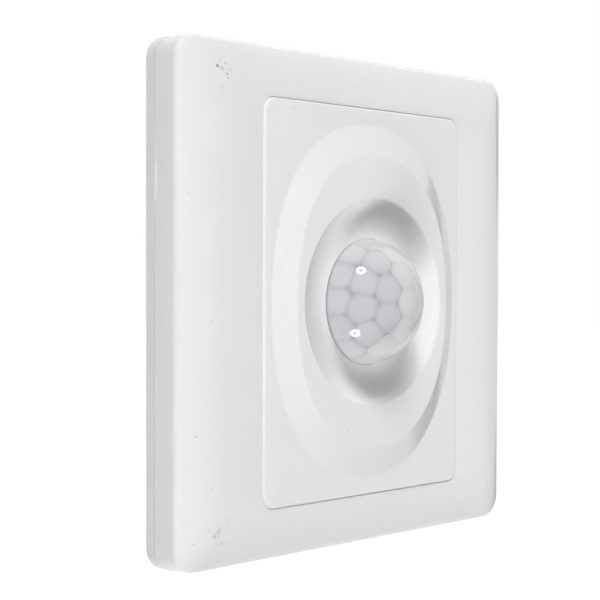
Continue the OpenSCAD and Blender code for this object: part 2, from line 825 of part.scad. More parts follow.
// Two small can capacitors on square feet
module timing_capacitors() {
    foot = cap_r + cap_foot_reach;
    cap_y = -sense_h / 2 + cap_edge + foot;
    color("silver") upright() for (x = [-cap_x, cap_x]) translate([x, cap_y, z_board_front]) {
        block(-foot, foot, -foot, foot, 0, cap_foot_t);
        bar(cap_r, cap_foot_t - cap_sink, cap_h);
    }
}

// Chip resistors round the holder
module chip_resistors() {
    chip_x = (holder_out_r + sense_w / 2) / 2;
    rows = [-resistor_low - resistor_pitch, -resistor_low, resistor_high, resistor_high + resistor_pitch];
    color("dimgray") upright() for (side = [-1, 1], y = rows) translate([side * chip_x, y, z_board_front])
        block(-resistor_l / 2, resistor_l / 2, -resistor_w / 2, resistor_w / 2, 0, resistor_t);
}

// Pin strip between the boards
module board_header() {
    strip_l = header_pins * header_pitch;
    color("gold") upright() {
        translate([header_x, header_y, 0])
            block(-header_strip_w / 2, header_strip_w / 2, -strip_l / 2, strip_l / 2,
                z_power_front, z_power_front + header_strip_h);
        header_places() block(-header_pin_w / 2, header_pin_w / 2, -header_pin_w / 2, header_pin_w / 2,
            z_power_back - pin_stub, z_board_front + pin_stub);
    }
}

// Places of the three terminals, from left to right
function way_x(i) = (i - 1) * way_pitch;

// Stands a part on the rear face of the power board
module behind_board(x, y) {
    translate([x, y, z_power_back]) rotate([180, 0, 0]) children();
}

// Rear circuit board
module power_board() {
    color("green") upright() difference() {
        rounded_box(power_w, power_h, 1, z_power_back, z_power_front);
        header_places() bar(header_hole_r, z_power_back - over, z_power_front + over);
        for (i = [0:2]) block(way_x(i) - pin_w / 2 - slide_gap, way_x(i) + pin_w / 2 + slide_gap,
            y_leg - slide_gap, y_leg + tongue_t + slide_gap, z_power_back - over, z_power_front + over);
        at_each(screwed_posts) bar(board_screw_r + hole_gap, z_power_back - over, z_power_front + over);
    }
}

// Sealed power relay
module relay() {
    color("navy") upright() behind_board(left_x, relay_y) rounded_box(relay_l, relay_w, 0.6, 0, relay_h);
}

// Mains film capacitor
module film_capacitor() {
    color("gold") upright() behind_board(left_x, film_y) rounded_box(film_l, film_w, 0.5, 0, film_h);
}

// Smoothing capacitor with a crimped foot and a scored top
module smoothing_capacitor() {
    bead = 0.3;
    color("black") upright() behind_board(right_x, smooth_y) difference() {
        rotate_extrude() polygon([[0, 0], [smooth_r, 0], [smooth_r, 4 * bead], [smooth_r - bead, 5 * bead],
            [smooth_r, 6 * bead], [smooth_r, smooth_h - bead], [smooth_r - bead, smooth_h], [0, smooth_h]]);
        for (a = [0, 90]) rotate([0, 0, a]) block(-smooth_r * 0.75, smooth_r * 0.75, -bead / 2, bead / 2,
            smooth_h - bead / 2, smooth_h + over);
    }
}

// Bridge rectifier
module rectifier() {
    color("black") upright() behind_board(left_x, rect_y)
        block(-rect_l / 2, rect_l / 2, -rect_w / 2, rect_w / 2, 0, rect_h);
}

// Round fuse
module fuse() {
    color("brown") upright() behind_board(right_x, fuse_y) bar(fuse_r, 0, fuse_h);
}

// Surge-absorbing disc on edge
module varistor() {
    color("royalblue") upright() behind_board(right_x, varistor_y) translate([0, 0, varistor_r])
        rotate([90, 0, 0]) cylinder(r = varistor_r, h = varistor_t, center = true);
}

// Three-way terminal housing, screws to the rear, wires from below
module terminal_block() {
    color("darkgreen") upright() difference() {
        block(-term_w / 2, term_w / 2, y_term_front, y_term_back, z_house_back, z_power_back);
        for (i = [0:2]) translate([way_x(i), 0, 0]) {
            translate([0, y_way, 0]) {
                bar(term_head_r - 0.3, z_house_back - over, z_house_back + t_shoulder);
                bar(term_head_r + slide_gap, z_house_back + t_head, z_house_back + t_shoulder);
                bar(term_screw_r + slide_gap, z_house_back + t_head, z_house_back + t_chamber + over);
            }
            block(-chamber_w / 2, chamber_w / 2, y_chamber, y_chamber_end,
                z_house_back + t_chamber, z_house_back + t_chamber_end);
            block(-pin_w / 2 - slide_gap, pin_w / 2 + slide_gap, y_leg - slide_gap, y_chamber_end,
                z_house_back + t_chamber_end - over, z_power_back + over);
            translate([0, y_term_front - over, z_house_back + t_wire]) rotate([-90, 0, 0])
                cylinder(r = wire_r, h = term_front_t + 2 * over);
        }
    }
}

// Fixed contacts: a tongue inside each cage and a leg down to the board
module terminal_contacts() {
    color("goldenrod") upright() for (i = [0:2]) translate([way_x(i), 0, z_house_back]) {
        block(-tongue_w / 2, tongue_w / 2, y_cage, y_leg + tongue_t, t_tongue, t_tongue + tongue_t);
        block(-tongue_w / 2, tongue_w / 2, y_leg, y_leg + tongue_t, t_tongue, t_chamber_end);
        block(-pin_w / 2, pin_w / 2, y_leg, y_leg + tongue_t, t_tongue, term_h + board_t + 1);
    }
}

// Slotted clamping screw
module terminal_screw(i) {
    color("silver") upright() translate([way_x(i), y_way, z_house_back]) difference() {
        union() {
            bar(term_head_r, t_head + head_gap / 2, t_head + head_gap / 2 + term_head_h);
            bar(term_screw_r, t_head + term_head_h / 2, t_window);
        }
        block(-term_head_r - 1, term_head_r + 1, -0.35, 0.35, 0, t_head + term_head_h / 2);
    }
}

module terminal_screw_left() { terminal_screw(0); }
module terminal_screw_middle() { terminal_screw(1); }
module terminal_screw_right() { terminal_screw(2); }

// Rising cage, drawn open
module terminal_cage(i) {
    color("goldenrod") upright() translate([way_x(i), 0, z_house_back]) difference() {
        block(-cage_w / 2, cage_w / 2, y_cage, y_cage + cage_l, t_cage, t_cage + cage_h);
        block(-cage_w / 2 + cage_side_t, cage_w / 2 - cage_side_t, y_cage - over, y_cage + cage_l + over,
            t_window, t_press);
        translate([0, y_way, 0]) bar(term_screw_r + turn_gap, t_cage - over, t_window + 0.1);
    }
}

module terminal_cage_left() { terminal_cage(0); }
module terminal_cage_middle() { terminal_cage(1); }
module terminal_cage_right() { terminal_cage(2); }

// Trimmer body with the bore its rotor turns in
module trimmer_body() {
    difference() {
        block(-trim_w / 2, trim_w / 2, -trim_w / 2, trim_w / 2, z_trim_face, z_power_back);
        bar(trim_pivot_r + turn_gap, z_trim_face - over, z_trim_face + pivot_h + turn_gap);
    }
}

// Rotor with pivot, brim and a slotted shaft to the rear
module trimmer_rotor() {
    difference() {
        union() {
            bar(trim_pivot_r, z_trim_face - 0.3, z_trim_face + pivot_h);
            bar(trim_brim_r, z_trim_face - 0.1 - brim_t, z_trim_face - 0.1);
            bar(trim_shaft_r, z_rotor_end, z_trim_face - 0.1);
        }
        block(-trim_shaft_r - 1, trim_shaft_r + 1, -0.3, 0.3, z_rotor_end - over, z_rotor_end + 1);
    }
}

module time_trimmer() { color("royalblue") upright() translate([-trim_x, trim_y, 0]) trimmer_body(); }
module time_rotor() { color("ivory") upright() translate([-trim_x, trim_y, 0]) trimmer_rotor(); }
module lux_trimmer() { color("royalblue") upright() translate([trim_x, trim_y, 0]) trimmer_body(); }
module lux_rotor() { color("ivory") upright() translate([trim_x, trim_y, 0]) trimmer_rotor(); }

// Screws that hold the power board on two posts
module board_screws() {
    color("silver") upright() at_each(screwed_posts) difference() {
        union() {
            bar(board_screw_r, z_power_front - board_screw_l, z_power_front + 0.2);
            bar(board_head_r, z_power_front, z_power_front + board_head_h);
        }
        for (a = [0, 90]) rotate([0, 0, a])
            block(-board_cross_l / 2, board_cross_l / 2, -board_cross_w / 2, board_cross_w / 2,
                z_power_front + board_head_h - board_cross_h, z_power_front + board_head_h + over);
    }
}

// Box behind the plate
module rear_housing() {
    vent_step = body_in_w / (vent_count + 1);
    z_vent = (z_house_floor + z_power_back) / 2;
    color("whitesmoke") upright() {
        difference() {
            union() {
                rounded_box(skirt_w, skirt_h, house_corner_r, -house_flange_t, 0);
                rounded_box(body_w, body_h, house_corner_r, z_house_back, -house_flange_t / 2);
            }
            rounded_box(body_in_w, body_in_h, body_in_r, z_house_floor, over);
            block(-term_w / 2 - slide_gap, term_w / 2 + slide_gap,
                y_term_front - over, y_term_back + slide_gap, z_house_back - over, z_power_back + slide_gap);
            for (side = [-1, 1]) translate([side * trim_x, trim_y, 0]) {
                bar(trim_shaft_r + hole_gap, z_house_back - over, z_house_floor + over);
                bar(dial_r, z_house_back - over, z_house_back + dial_depth);
            }
            at_each(bosses) bar(house_screw_r + hole_gap, -house_flange_t - over, over);
            for (i = [1:vent_count]) translate([-body_in_w / 2 + i * vent_step, 0, z_vent])
                block(-vent_w / 2, vent_w / 2, body_in_h / 2 - over, body_h / 2 + over,
                    -vent_l / 2, vent_l / 2);
        }
        difference() {
            at_each(posts) bar(post_r, z_house_back + house_wall / 2, z_power_back);
            at_each(screwed_posts) bar(board_screw_r + turn_gap,
                z_power_front - board_screw_l - screw_room, z_power_back + over);
        }
    }
}

// Four screws from the rear through housing and plate into the panel
module housing_screws() {
    color("silver") upright() at_each(bosses) difference() {
        union() {
            bar(house_screw_r, -house_flange_t - house_head_h / 2, plate_t + house_bite);
            bar(house_head_r, -house_flange_t - house_head_h, -house_flange_t);
        }
        for (a = [0, 90]) rotate([0, 0, a]) block(-house_head_r * 0.6, house_head_r * 0.6, -0.3, 0.3,
            -house_flange_t - house_head_h - over, -house_flange_t - house_head_h / 2.2);
    }
}

cover_frame();
mounting_plate();
sensor_panel();
fresnel_lens();
lens_holder();
sensor_board();
pir_spacer();
pir_can();
pir_window();
photocell();
control_chip();
timing_capacitors();
chip_resistors();
board_header();
power_board();
relay();
film_capacitor();
smoothing_capacitor();
rectifier();
fuse();
varistor();
terminal_block();
terminal_contacts();
terminal_screw_left();
terminal_screw_middle();
terminal_screw_right();
terminal_cage_left();
terminal_cage_middle();
terminal_cage_right();
time_trimmer();
time_rotor();
lux_trimmer();
lux_rotor();
board_screws();
rear_housing();
housing_screws();
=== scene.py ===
import json
import math

import bmesh
import bpy
from mathutils import Matrix, Quaternion, Vector


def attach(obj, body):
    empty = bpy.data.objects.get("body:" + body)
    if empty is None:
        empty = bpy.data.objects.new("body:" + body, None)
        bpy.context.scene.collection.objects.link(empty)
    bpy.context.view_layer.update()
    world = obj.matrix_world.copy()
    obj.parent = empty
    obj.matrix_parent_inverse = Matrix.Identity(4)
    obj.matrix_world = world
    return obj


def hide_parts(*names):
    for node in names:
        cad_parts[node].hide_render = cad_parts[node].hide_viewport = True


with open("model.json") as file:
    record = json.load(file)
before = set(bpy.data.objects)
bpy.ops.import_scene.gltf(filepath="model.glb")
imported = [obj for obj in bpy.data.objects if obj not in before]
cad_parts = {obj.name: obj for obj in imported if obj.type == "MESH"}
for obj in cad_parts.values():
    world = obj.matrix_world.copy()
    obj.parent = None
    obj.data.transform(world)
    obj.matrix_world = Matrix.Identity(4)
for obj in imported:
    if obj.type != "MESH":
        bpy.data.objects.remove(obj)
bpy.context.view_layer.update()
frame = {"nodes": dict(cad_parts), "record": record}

# Lengths are in millimetres, with x to the right, y up and z out of the wall, as the parts were
# drawn. place() turns such a point into the frame's metres, where the front looks along -Y.
MM = 0.001

# Cover frame
HALF = 43.0
CORNER_R = 4.0
PLATE_T = 2.0
COVER_FRONT = 9.5
COVER_WALL = 2.0
PILLOW_W = 9.0
PILLOW_DROP = 2.4
EDGE_R = 1.6
# Corner radius that the pillow border narrows to at the window
MITRE_R = 3.1
COLLAR_H = 3.5
COLLAR_T = 1.4
# Where the inside of the cover leaves the collar: below its roof and out from the collar's wall
ROOF_GAP = 0.05
ROOF_START = 0.5
# Small cut on the inner rims of the cover and on the panel's skirt
RIM_CUT = 0.12

# Groove between cover and plate
SEAM_H = 0.2
SEAM_DEPTH = 0.22
SEAM_EDGE = 0.02

# Pry notch in the left side; its floor slants from a share of its depth to the whole
NOTCH_Y = 20.0
NOTCH_L = 6.1
NOTCH_H = 0.9
NOTCH_DEPTH = 0.8
NOTCH_FIRST_SHARE = 0.2
NOTCH_END_W = 0.2
NOTCH_TOP_H = 0.03

# Clip tongues of the cover
CLIP_X = 38.05
CLIP_Y = 20.0
CLIP_W = 8.0
CLIP_T = 1.4
CLIP_BARB = 0.4
CLIP_TIP = 0.5
CLIP_TIP_CUT = 0.15
CLIP_FILLET = 0.8
CLIP_FILLET_ANGLES = (0.0, 0.5, 1.0, math.pi / 2)
# Depth of the tongue's root below the inside of the cover's front
CLIP_ROOT = 0.6
# Height of half a barb as a share of the plate's thickness
BARB_SHARE = 0.3

# Sensor panel
PANEL_X = 26.0
PANEL_Y = 34.0
PANEL_CORNER_R = 2.5
PANEL_FRONT = 9.8
PANEL_BACK = 7.8
PANEL_EDGE_R = 0.5
# How much further out to the sides the rounded front edge lies than the panel's back
PANEL_SWELL = 0.005
PANEL_GAP = 0.04
WINDOW_EDGE_R = 0.1
WINDOW_MARGIN = 0.1
MOUND_R = 24.2
MOUND_RATIO = 1.281
MOUND_POWER = 2.25
MOUND_SLOPE_W = 4.2
MOUND_RISE = 1.9
MOUND_TOP_R = 1.2
MOUND_FOOT_R = 1.2
DISH_R = 18.15
DISH_DEPTH = 1.8
DISH_RIM_R = 0.8
DISH_LOW_R = 13.0
LENS_HOLE_R = 11.33
LENS_LIP_R = 11.18
LENS_LIP_DROP = 0.05
SKIRT_STEP = 1.5
SKIRT_T = 1.8
SKIRT_CORNER_R = 2.0
SKIRT_INNER_R = 0.4

# Lens
LENS_R = 11.3
LENS_MIDDLE = 8.0
LENS_WALL = 0.45
LENSLET_R = 7.0
LENSLET_RISE = 0.8
FLANGE_R = 13.1
FLANGE_BACK = 6.8
FLANGE_CUT = 0.1
# How far in front of the flange the dome's straight foot ends
LENS_FOOT_GAP = 0.05
# Rings of lenslets from the crown outwards: tilt from the axis, count, and turn of the first one
RING_TILT = (0.0, 25.0, 48.0, 70.5)
RING_COUNT = (1, 6, 11, 14)
RING_TURN = (0.0, 30.0, 187.0, 179.0)
# How far from the right, in degrees, each ring's lenslets show the pale panel behind them and not
# the dark holder, as a painted see-through tone
PALE_REACH = (180.0, 100.0, 110.0, 115.0)

# Camera, fitted to the picture of 600 x 600 pixels
PICTURE = 600.0
SENSOR = 36.0
FOCAL_PIXELS = 1498.655
CAMERA_AT = (-200.799, 5.01, 181.832)
YAW, PITCH, ROLL = 46.822, -1.026, 0.167

# How finely the rounded shapes are divided
CORNER_STEPS = 12
EDGE_STEPS = 7
PILLOW_STEPS = 16
WINDOW_STEPS = 5
ROOF_STEPS = 8
BOWL_STEPS = 28
ROUND_STEPS = 8
PANEL_RAYS = 240
CORNER_RAYS = 12
RAY_GAP = math.radians(0.3)
LENS_TILTS = 108
LENS_TURNS = 360


def place(x, y, z):
    """A point of the part's own drawing as a point of the frame, in metres."""
    return Vector((x, -z, y)) * MM


def arc(cx, cz, r, start, end, steps):
    """Points of an arc, with angles in radians."""
    angles = [start + (end - start) * i / steps for i in range(steps + 1)]
    return [(cx + r * math.cos(a), cz + r * math.sin(a)) for a in angles]


def join_rows(bm, low, high):
    """Faces between two closed rows of equal length."""
    for i in range(len(low)):
        j = (i + 1) % len(low)
        bm.faces.new((low[i], low[j], high[j], high[i]))


def loft_into(bm, rings):
    """Skins a list of rings of equal length and joins the last ring to the first."""
    rows = [[bm.verts.new(place(*p)) for p in ring] for ring in rings]
    for low, high in zip(rows, rows[1:] + rows[:1]):
        join_rows(bm, low, high)


def mesh_from(name, bm):
    """A mesh with its faces turned outwards, made from the finished shape."""
    bmesh.ops.recalc_face_normals(bm, faces=bm.faces)
    mesh = bpy.data.meshes.new(name)
    bm.to_mesh(mesh)
    bm.free()
    return mesh


# Cover frame: rings of rounded squares from the rim over the pillow border, into the window and
# back along the inside

STRAIGHT = 2 * (HALF - CORNER_R)
QUARTERS = (0.25, 0.5, 0.75)


def side_shares():
    """Shares along the left side at which it has points: quarters and both ends of the notch."""
    top = HALF - CORNER_R
    marks = [top - STRAIGHT * q for q in QUARTERS]
    high, low = NOTCH_Y + NOTCH_L / 2, NOTCH_Y - NOTCH_L / 2
    for end, out in ((high, NOTCH_END_W), (low, -NOTCH_END_W)):
        marks += [end + out, end]
    return sorted((top - m) / STRAIGHT for m in marks)


def outline(half_x, half_y, r):
    """A rounded oblong as points (x, y), with the same number of points for every size."""
    shares = (QUARTERS, QUARTERS, side_shares(), QUARTERS)
    centres = ((1, 1), (-1, 1), (-1, -1), (1, -1))
    points = []
    for k, (sx, sy) in enumerate(centres):
        cx, cy = sx * (half_x - r), sy * (half_y - r)
        before = centres[k - 1]
        start = math.radians(90 * k)
        ax = before[0] * (half_x - r) + r * math.cos(start)
        ay = before[1] * (half_y - r) + r * math.sin(start)
        bx, by = cx + r * math.cos(start), cy + r * math.sin(start)
        points += [(ax + (bx - ax) * s, ay + (by - ay) * s) for s in shares[k]]
        points += arc(cx, cy, r, start, start + math.pi / 2, CORNER_STEPS)
    return points


def in_notch(x, y):
    """Whether a point of the outline lies in the pry notch."""
    return x < 0 and abs(y - NOTCH_Y) <= NOTCH_L / 2 + NOTCH_END_W / 2


def cover_ring(half_x, half_y, r, z, cut=0.0):
    """A ring of the cover, which lies deeper by the cut where it passes the pry notch."""
    return [(x + cut if in_notch(x, y) else x, y, z) for x, y in outline(half_x, half_y, r)]


def pillow_radius():
    """Radius of the arc that the pillow border follows."""
    return (PILLOW_W ** 2 + PILLOW_DROP ** 2) / (2 * PILLOW_DROP)


def build_cover():
    start = HALF - PILLOW_W
    radius = pillow_radius()
    arc_z = COVER_FRONT - radius
    round_x = HALF - EDGE_R
    round_z = arc_z + math.sqrt((radius - EDGE_R) ** 2 - (PILLOW_W - EDGE_R) ** 2)
    meet = math.atan2(round_z - arc_z, round_x - start)
    window_x, window_y = PANEL_X + PANEL_GAP, PANEL_Y + PANEL_GAP
    window_r = PANEL_CORNER_R + PANEL_GAP
    last = window_y + WINDOW_EDGE_R + WINDOW_MARGIN

    def soft_corner(h):
        return CORNER_R - (HALF - h) * (CORNER_R - MITRE_R) / (HALF - last)

    # The groove at the plate and the side wall, with the notch in it
    sunk, sunk_r = HALF - SEAM_DEPTH, CORNER_R - SEAM_DEPTH
    notch_z = PLATE_T + NOTCH_H
    rings = [
        (sunk, sunk, sunk_r, PLATE_T),
        (sunk, sunk, sunk_r, PLATE_T + SEAM_H),
        (HALF, HALF, CORNER_R, PLATE_T + SEAM_H + SEAM_EDGE, NOTCH_DEPTH * NOTCH_FIRST_SHARE),
        (HALF, HALF, CORNER_R, notch_z, NOTCH_DEPTH),
        (HALF, HALF, CORNER_R, notch_z + NOTCH_TOP_H),
    ]

    # The rounded edge, the pillow border and the rounded edge of the window
    for h, z in arc(round_x, round_z, EDGE_R, 0.0, meet, EDGE_STEPS):
        rings.append((h, h, soft_corner(h), z))
    pillow_end = math.acos((last - start) / radius)
    for h, z in arc(start, arc_z, radius, meet, pillow_end, PILLOW_STEPS)[1:]:
        rings.append((h, h, soft_corner(h), z))
    edge_z = COVER_FRONT - WINDOW_EDGE_R
    edge_arc = arc(WINDOW_EDGE_R, edge_z, WINDOW_EDGE_R, math.pi / 2, math.pi, WINDOW_STEPS)
    for dx, z in edge_arc:
        rings.append((window_x + dx, window_y + dx, window_r + dx, z))

    # The collar round the window
    floor = COVER_FRONT - COLLAR_H
    rings.append((window_x, window_y, window_r, floor + RIM_CUT))
    rings.append((window_x + RIM_CUT, window_y + RIM_CUT, window_r + RIM_CUT, floor))
    out_x, out_y, out_r = window_x + COLLAR_T, window_y + COLLAR_T, window_r + COLLAR_T
    rings.append((out_x - RIM_CUT, out_y - RIM_CUT, out_r - RIM_CUT, floor))
    rings.append((out_x, out_y, out_r, floor + RIM_CUT))
    rings.append((out_x, out_y, out_r, COVER_FRONT - COVER_WALL - ROOF_GAP))

    # The inside, one wall's thickness below the pillow border
    inner, inner_r = HALF - COVER_WALL, CORNER_R - COVER_WALL
    roof_r = radius - COVER_WALL
    first_roof = out_y + ROOF_START
    for i in range(ROOF_STEPS + 1):
        h = first_roof + (inner - first_roof) * i / ROOF_STEPS
        rings.append((h, h, inner_r, arc_z + math.sqrt(roof_r ** 2 - (h - start) ** 2)))
    rings.append((inner, inner, inner_r, PLATE_T + RIM_CUT))
    rings.append((inner + RIM_CUT, inner + RIM_CUT, inner_r + RIM_CUT, PLATE_T))
    bm = bmesh.new()
    loft_into(bm, [cover_ring(*r) for r in rings])
    return mesh_from("cover_frame_shell", bm)


def build_clips():
    """Four tongues under the cover, each with a barb at its end and a fillet at its root."""
    root = COVER_FRONT - COVER_WALL - CLIP_ROOT
    barb = PLATE_T * BARB_SHARE
    face = CLIP_T / 2
    section = [
        (-face, CLIP_TIP),
        (face - CLIP_TIP_CUT, CLIP_TIP),
        (face, CLIP_TIP + CLIP_TIP_CUT),
        (face + CLIP_BARB, CLIP_TIP + barb),
        (face, CLIP_TIP + 2 * barb),
    ]
    for a in CLIP_FILLET_ANGLES:
        x = face + CLIP_FILLET - CLIP_FILLET * math.cos(a)
        section.append((x, root - CLIP_FILLET + CLIP_FILLET * math.sin(a)))
    section.append((-face, root))
    bm = bmesh.new()
    for side in (-1, 1):
        for y in (-CLIP_Y, CLIP_Y):
            ends = []
            for w in (-CLIP_W / 2, CLIP_W / 2):
                spots = [place(side * (CLIP_X + x), y + w, z) for x, z in section]
                ends.append([bm.verts.new(spot) for spot in spots])
            join_rows(bm, *ends)
            bm.faces.new(ends[0])
            bm.faces.new(ends[1])
    return mesh_from("cover_clips", bm)


# Sensor panel: rings round the lens, each a circle, an oval or a rounded oblong

# Least part of a direction that counts as not zero
TINY = 1e-9
CIRCLE_POWER = 2.0
# Places between the dish's rim and the mound's crest, where circles turn into ovals
TOP_SHARES = (0.15, 0.5, 0.85)


def oblong_reach(half_x, half_y, r):
    """How far a ray from the middle goes to the edge of a rounded oblong."""
    def reach(dx, dy):
        ax, ay = abs(dx), abs(dy)
        if ax > TINY and ay * half_x / ax <= half_y - r:
            return half_x / ax
        if ay > TINY and ax * half_y / ay <= half_x - r:
            return half_y / ay
        cx, cy = half_x - r, half_y - r
        b = ax * cx + ay * cy
        return b + math.sqrt(b * b - (cx * cx + cy * cy - r * r))
    return reach


def oval_reach(a, ratio, power):
    """How far a ray goes to the edge of an oval, which is squarer for a power above 2."""
    def reach(dx, dy):
        return (abs(dx / a) ** power + abs(dy / (a * ratio)) ** power) ** (-1.0 / power)
    return reach


def circle_reach(r):
    return oval_reach(r, 1.0, CIRCLE_POWER)


def panel_rays():
    """Directions round the panel, closer together at its corners."""
    angles = [2 * math.pi * i / PANEL_RAYS for i in range(PANEL_RAYS)]
    first = math.atan2(PANEL_Y - PANEL_CORNER_R, PANEL_X)
    last = math.atan2(PANEL_Y, PANEL_X - PANEL_CORNER_R)
    for i in range(CORNER_RAYS + 1):
        a = first + (last - first) * i / CORNER_RAYS
        angles += [a, math.pi - a, math.pi + a, 2 * math.pi - a]
    angles.sort()
    kept = [angles[0]]
    for a in angles[1:]:
        if a - kept[-1] > RAY_GAP:
            kept.append(a)
    return [(math.cos(a), math.sin(a)) for a in kept]


def build_panel():
    top = PANEL_FRONT + MOUND_RISE
    floor = top - DISH_DEPTH
    # The dish is lowest between its rim and the lens, so that its floor rises towards the lens
    run_in, run_out = DISH_LOW_R - LENS_LIP_R, DISH_R - DISH_LOW_R
    rise = ((run_out ** 2 - run_in ** 2) / DISH_DEPTH + DISH_DEPTH) / 2
    bowl_r = math.hypot(rise, run_in)
    bowl_z = floor + rise
    rim_z = top - DISH_RIM_R
    rim_x = DISH_LOW_R + math.sqrt((bowl_r + DISH_RIM_R) ** 2 - (bowl_z - rim_z) ** 2)
    meet = math.atan2(rim_z - bowl_z, rim_x - DISH_LOW_R)
    lip = math.atan2(-rise, -run_in)
    slope = math.atan(MOUND_RISE / MOUND_SLOPE_W)
    crest_x = MOUND_R - MOUND_SLOPE_W - MOUND_TOP_R * math.tan(slope / 2)
    crest_z = top - MOUND_TOP_R
    foot_x = MOUND_R + MOUND_FOOT_R * math.tan(slope / 2)
    foot_z = PANEL_FRONT + MOUND_FOOT_R
    out, up, down = 0.0, math.pi / 2, -math.pi / 2

    # The lens hole, the dish and its rim
    rings = [
        (circle_reach(LENS_HOLE_R), PANEL_BACK),
        (circle_reach(LENS_LIP_R), floor - LENS_LIP_DROP),
    ]
    for r, z in arc(DISH_LOW_R, bowl_z, bowl_r, lip, meet, BOWL_STEPS):
        rings.append((circle_reach(r), z))
    for r, z in arc(rim_x, rim_z, DISH_RIM_R, meet + math.pi, up, ROUND_STEPS)[1:]:
        rings.append((circle_reach(r), z))

    # The mound's top, crest and foot
    for share in TOP_SHARES:
        a = rim_x + (crest_x - rim_x) * share
        ratio = 1.0 + (MOUND_RATIO - 1.0) * share
        power = CIRCLE_POWER + (MOUND_POWER - CIRCLE_POWER) * share
        rings.append((oval_reach(a, ratio, power), top))
    for a, z in arc(crest_x, crest_z, MOUND_TOP_R, up, up - slope, ROUND_STEPS):
        rings.append((oval_reach(a, MOUND_RATIO, MOUND_POWER), z))
    for a, z in arc(foot_x, foot_z, MOUND_FOOT_R, down - slope, down, ROUND_STEPS):
        rings.append((oval_reach(a, MOUND_RATIO, MOUND_POWER), z))

    # The panel's rounded edge, its back and the skirt
    edge_x, edge_y = PANEL_X - PANEL_EDGE_R, PANEL_Y - PANEL_EDGE_R
    edge_r = PANEL_CORNER_R - PANEL_EDGE_R
    for d, z in arc(0.0, PANEL_FRONT - PANEL_EDGE_R, PANEL_EDGE_R, up, out, EDGE_STEPS):
        rings.append((oblong_reach(edge_x + d + PANEL_SWELL, edge_y + d, edge_r + d), z))
    rings.append((oblong_reach(PANEL_X, PANEL_Y, PANEL_CORNER_R), PANEL_BACK))
    skirt_x, skirt_y = PANEL_X - SKIRT_STEP, PANEL_Y - SKIRT_STEP
    for z in (PANEL_BACK, PLATE_T + RIM_CUT):
        rings.append((oblong_reach(skirt_x, skirt_y, SKIRT_CORNER_R), z))
    cut_x, cut_y = skirt_x - RIM_CUT, skirt_y - RIM_CUT
    rings.append((oblong_reach(cut_x, cut_y, SKIRT_CORNER_R), PLATE_T))
    for z in (PLATE_T, PANEL_BACK):
        rings.append((oblong_reach(skirt_x - SKIRT_T, skirt_y - SKIRT_T, SKIRT_INNER_R), z))

    rays = panel_rays()
    bm = bmesh.new()
    loft_into(bm, [[(reach(*d) * d[0], reach(*d) * d[1], z) for d in rays] for reach, z in rings])
    return mesh_from("sensor_panel_shell", bm)


# Lens: a smooth dome outside, lenslets inside

# How far the painted shade of a seam between two lenslets and a knot between three of them shows
SEAM_WIDTH = math.radians(3.0)
KNOT_WIDTH = math.radians(4.0)
# How strongly each lenslet turns the shading towards its own rim
LENS_LEAN = 0.6


def lenslets():
    """The direction of each lenslet, and 1 if it is painted as showing the pale panel, or 0."""
    found = []
    for tilt, count, turn, reach in zip(RING_TILT, RING_COUNT, RING_TURN, PALE_REACH):
        t = math.radians(tilt)
        for i in range(count):
            degrees = turn + 360.0 * i / count
            a = math.radians(degrees)
            axis = Vector((math.sin(t) * math.cos(a), math.sin(t) * math.sin(a), math.cos(t)))
            from_right = abs((degrees + 180.0) % 360.0 - 180.0)
            found.append((axis, 1.0 if from_right <= reach else 0.0))
    return found


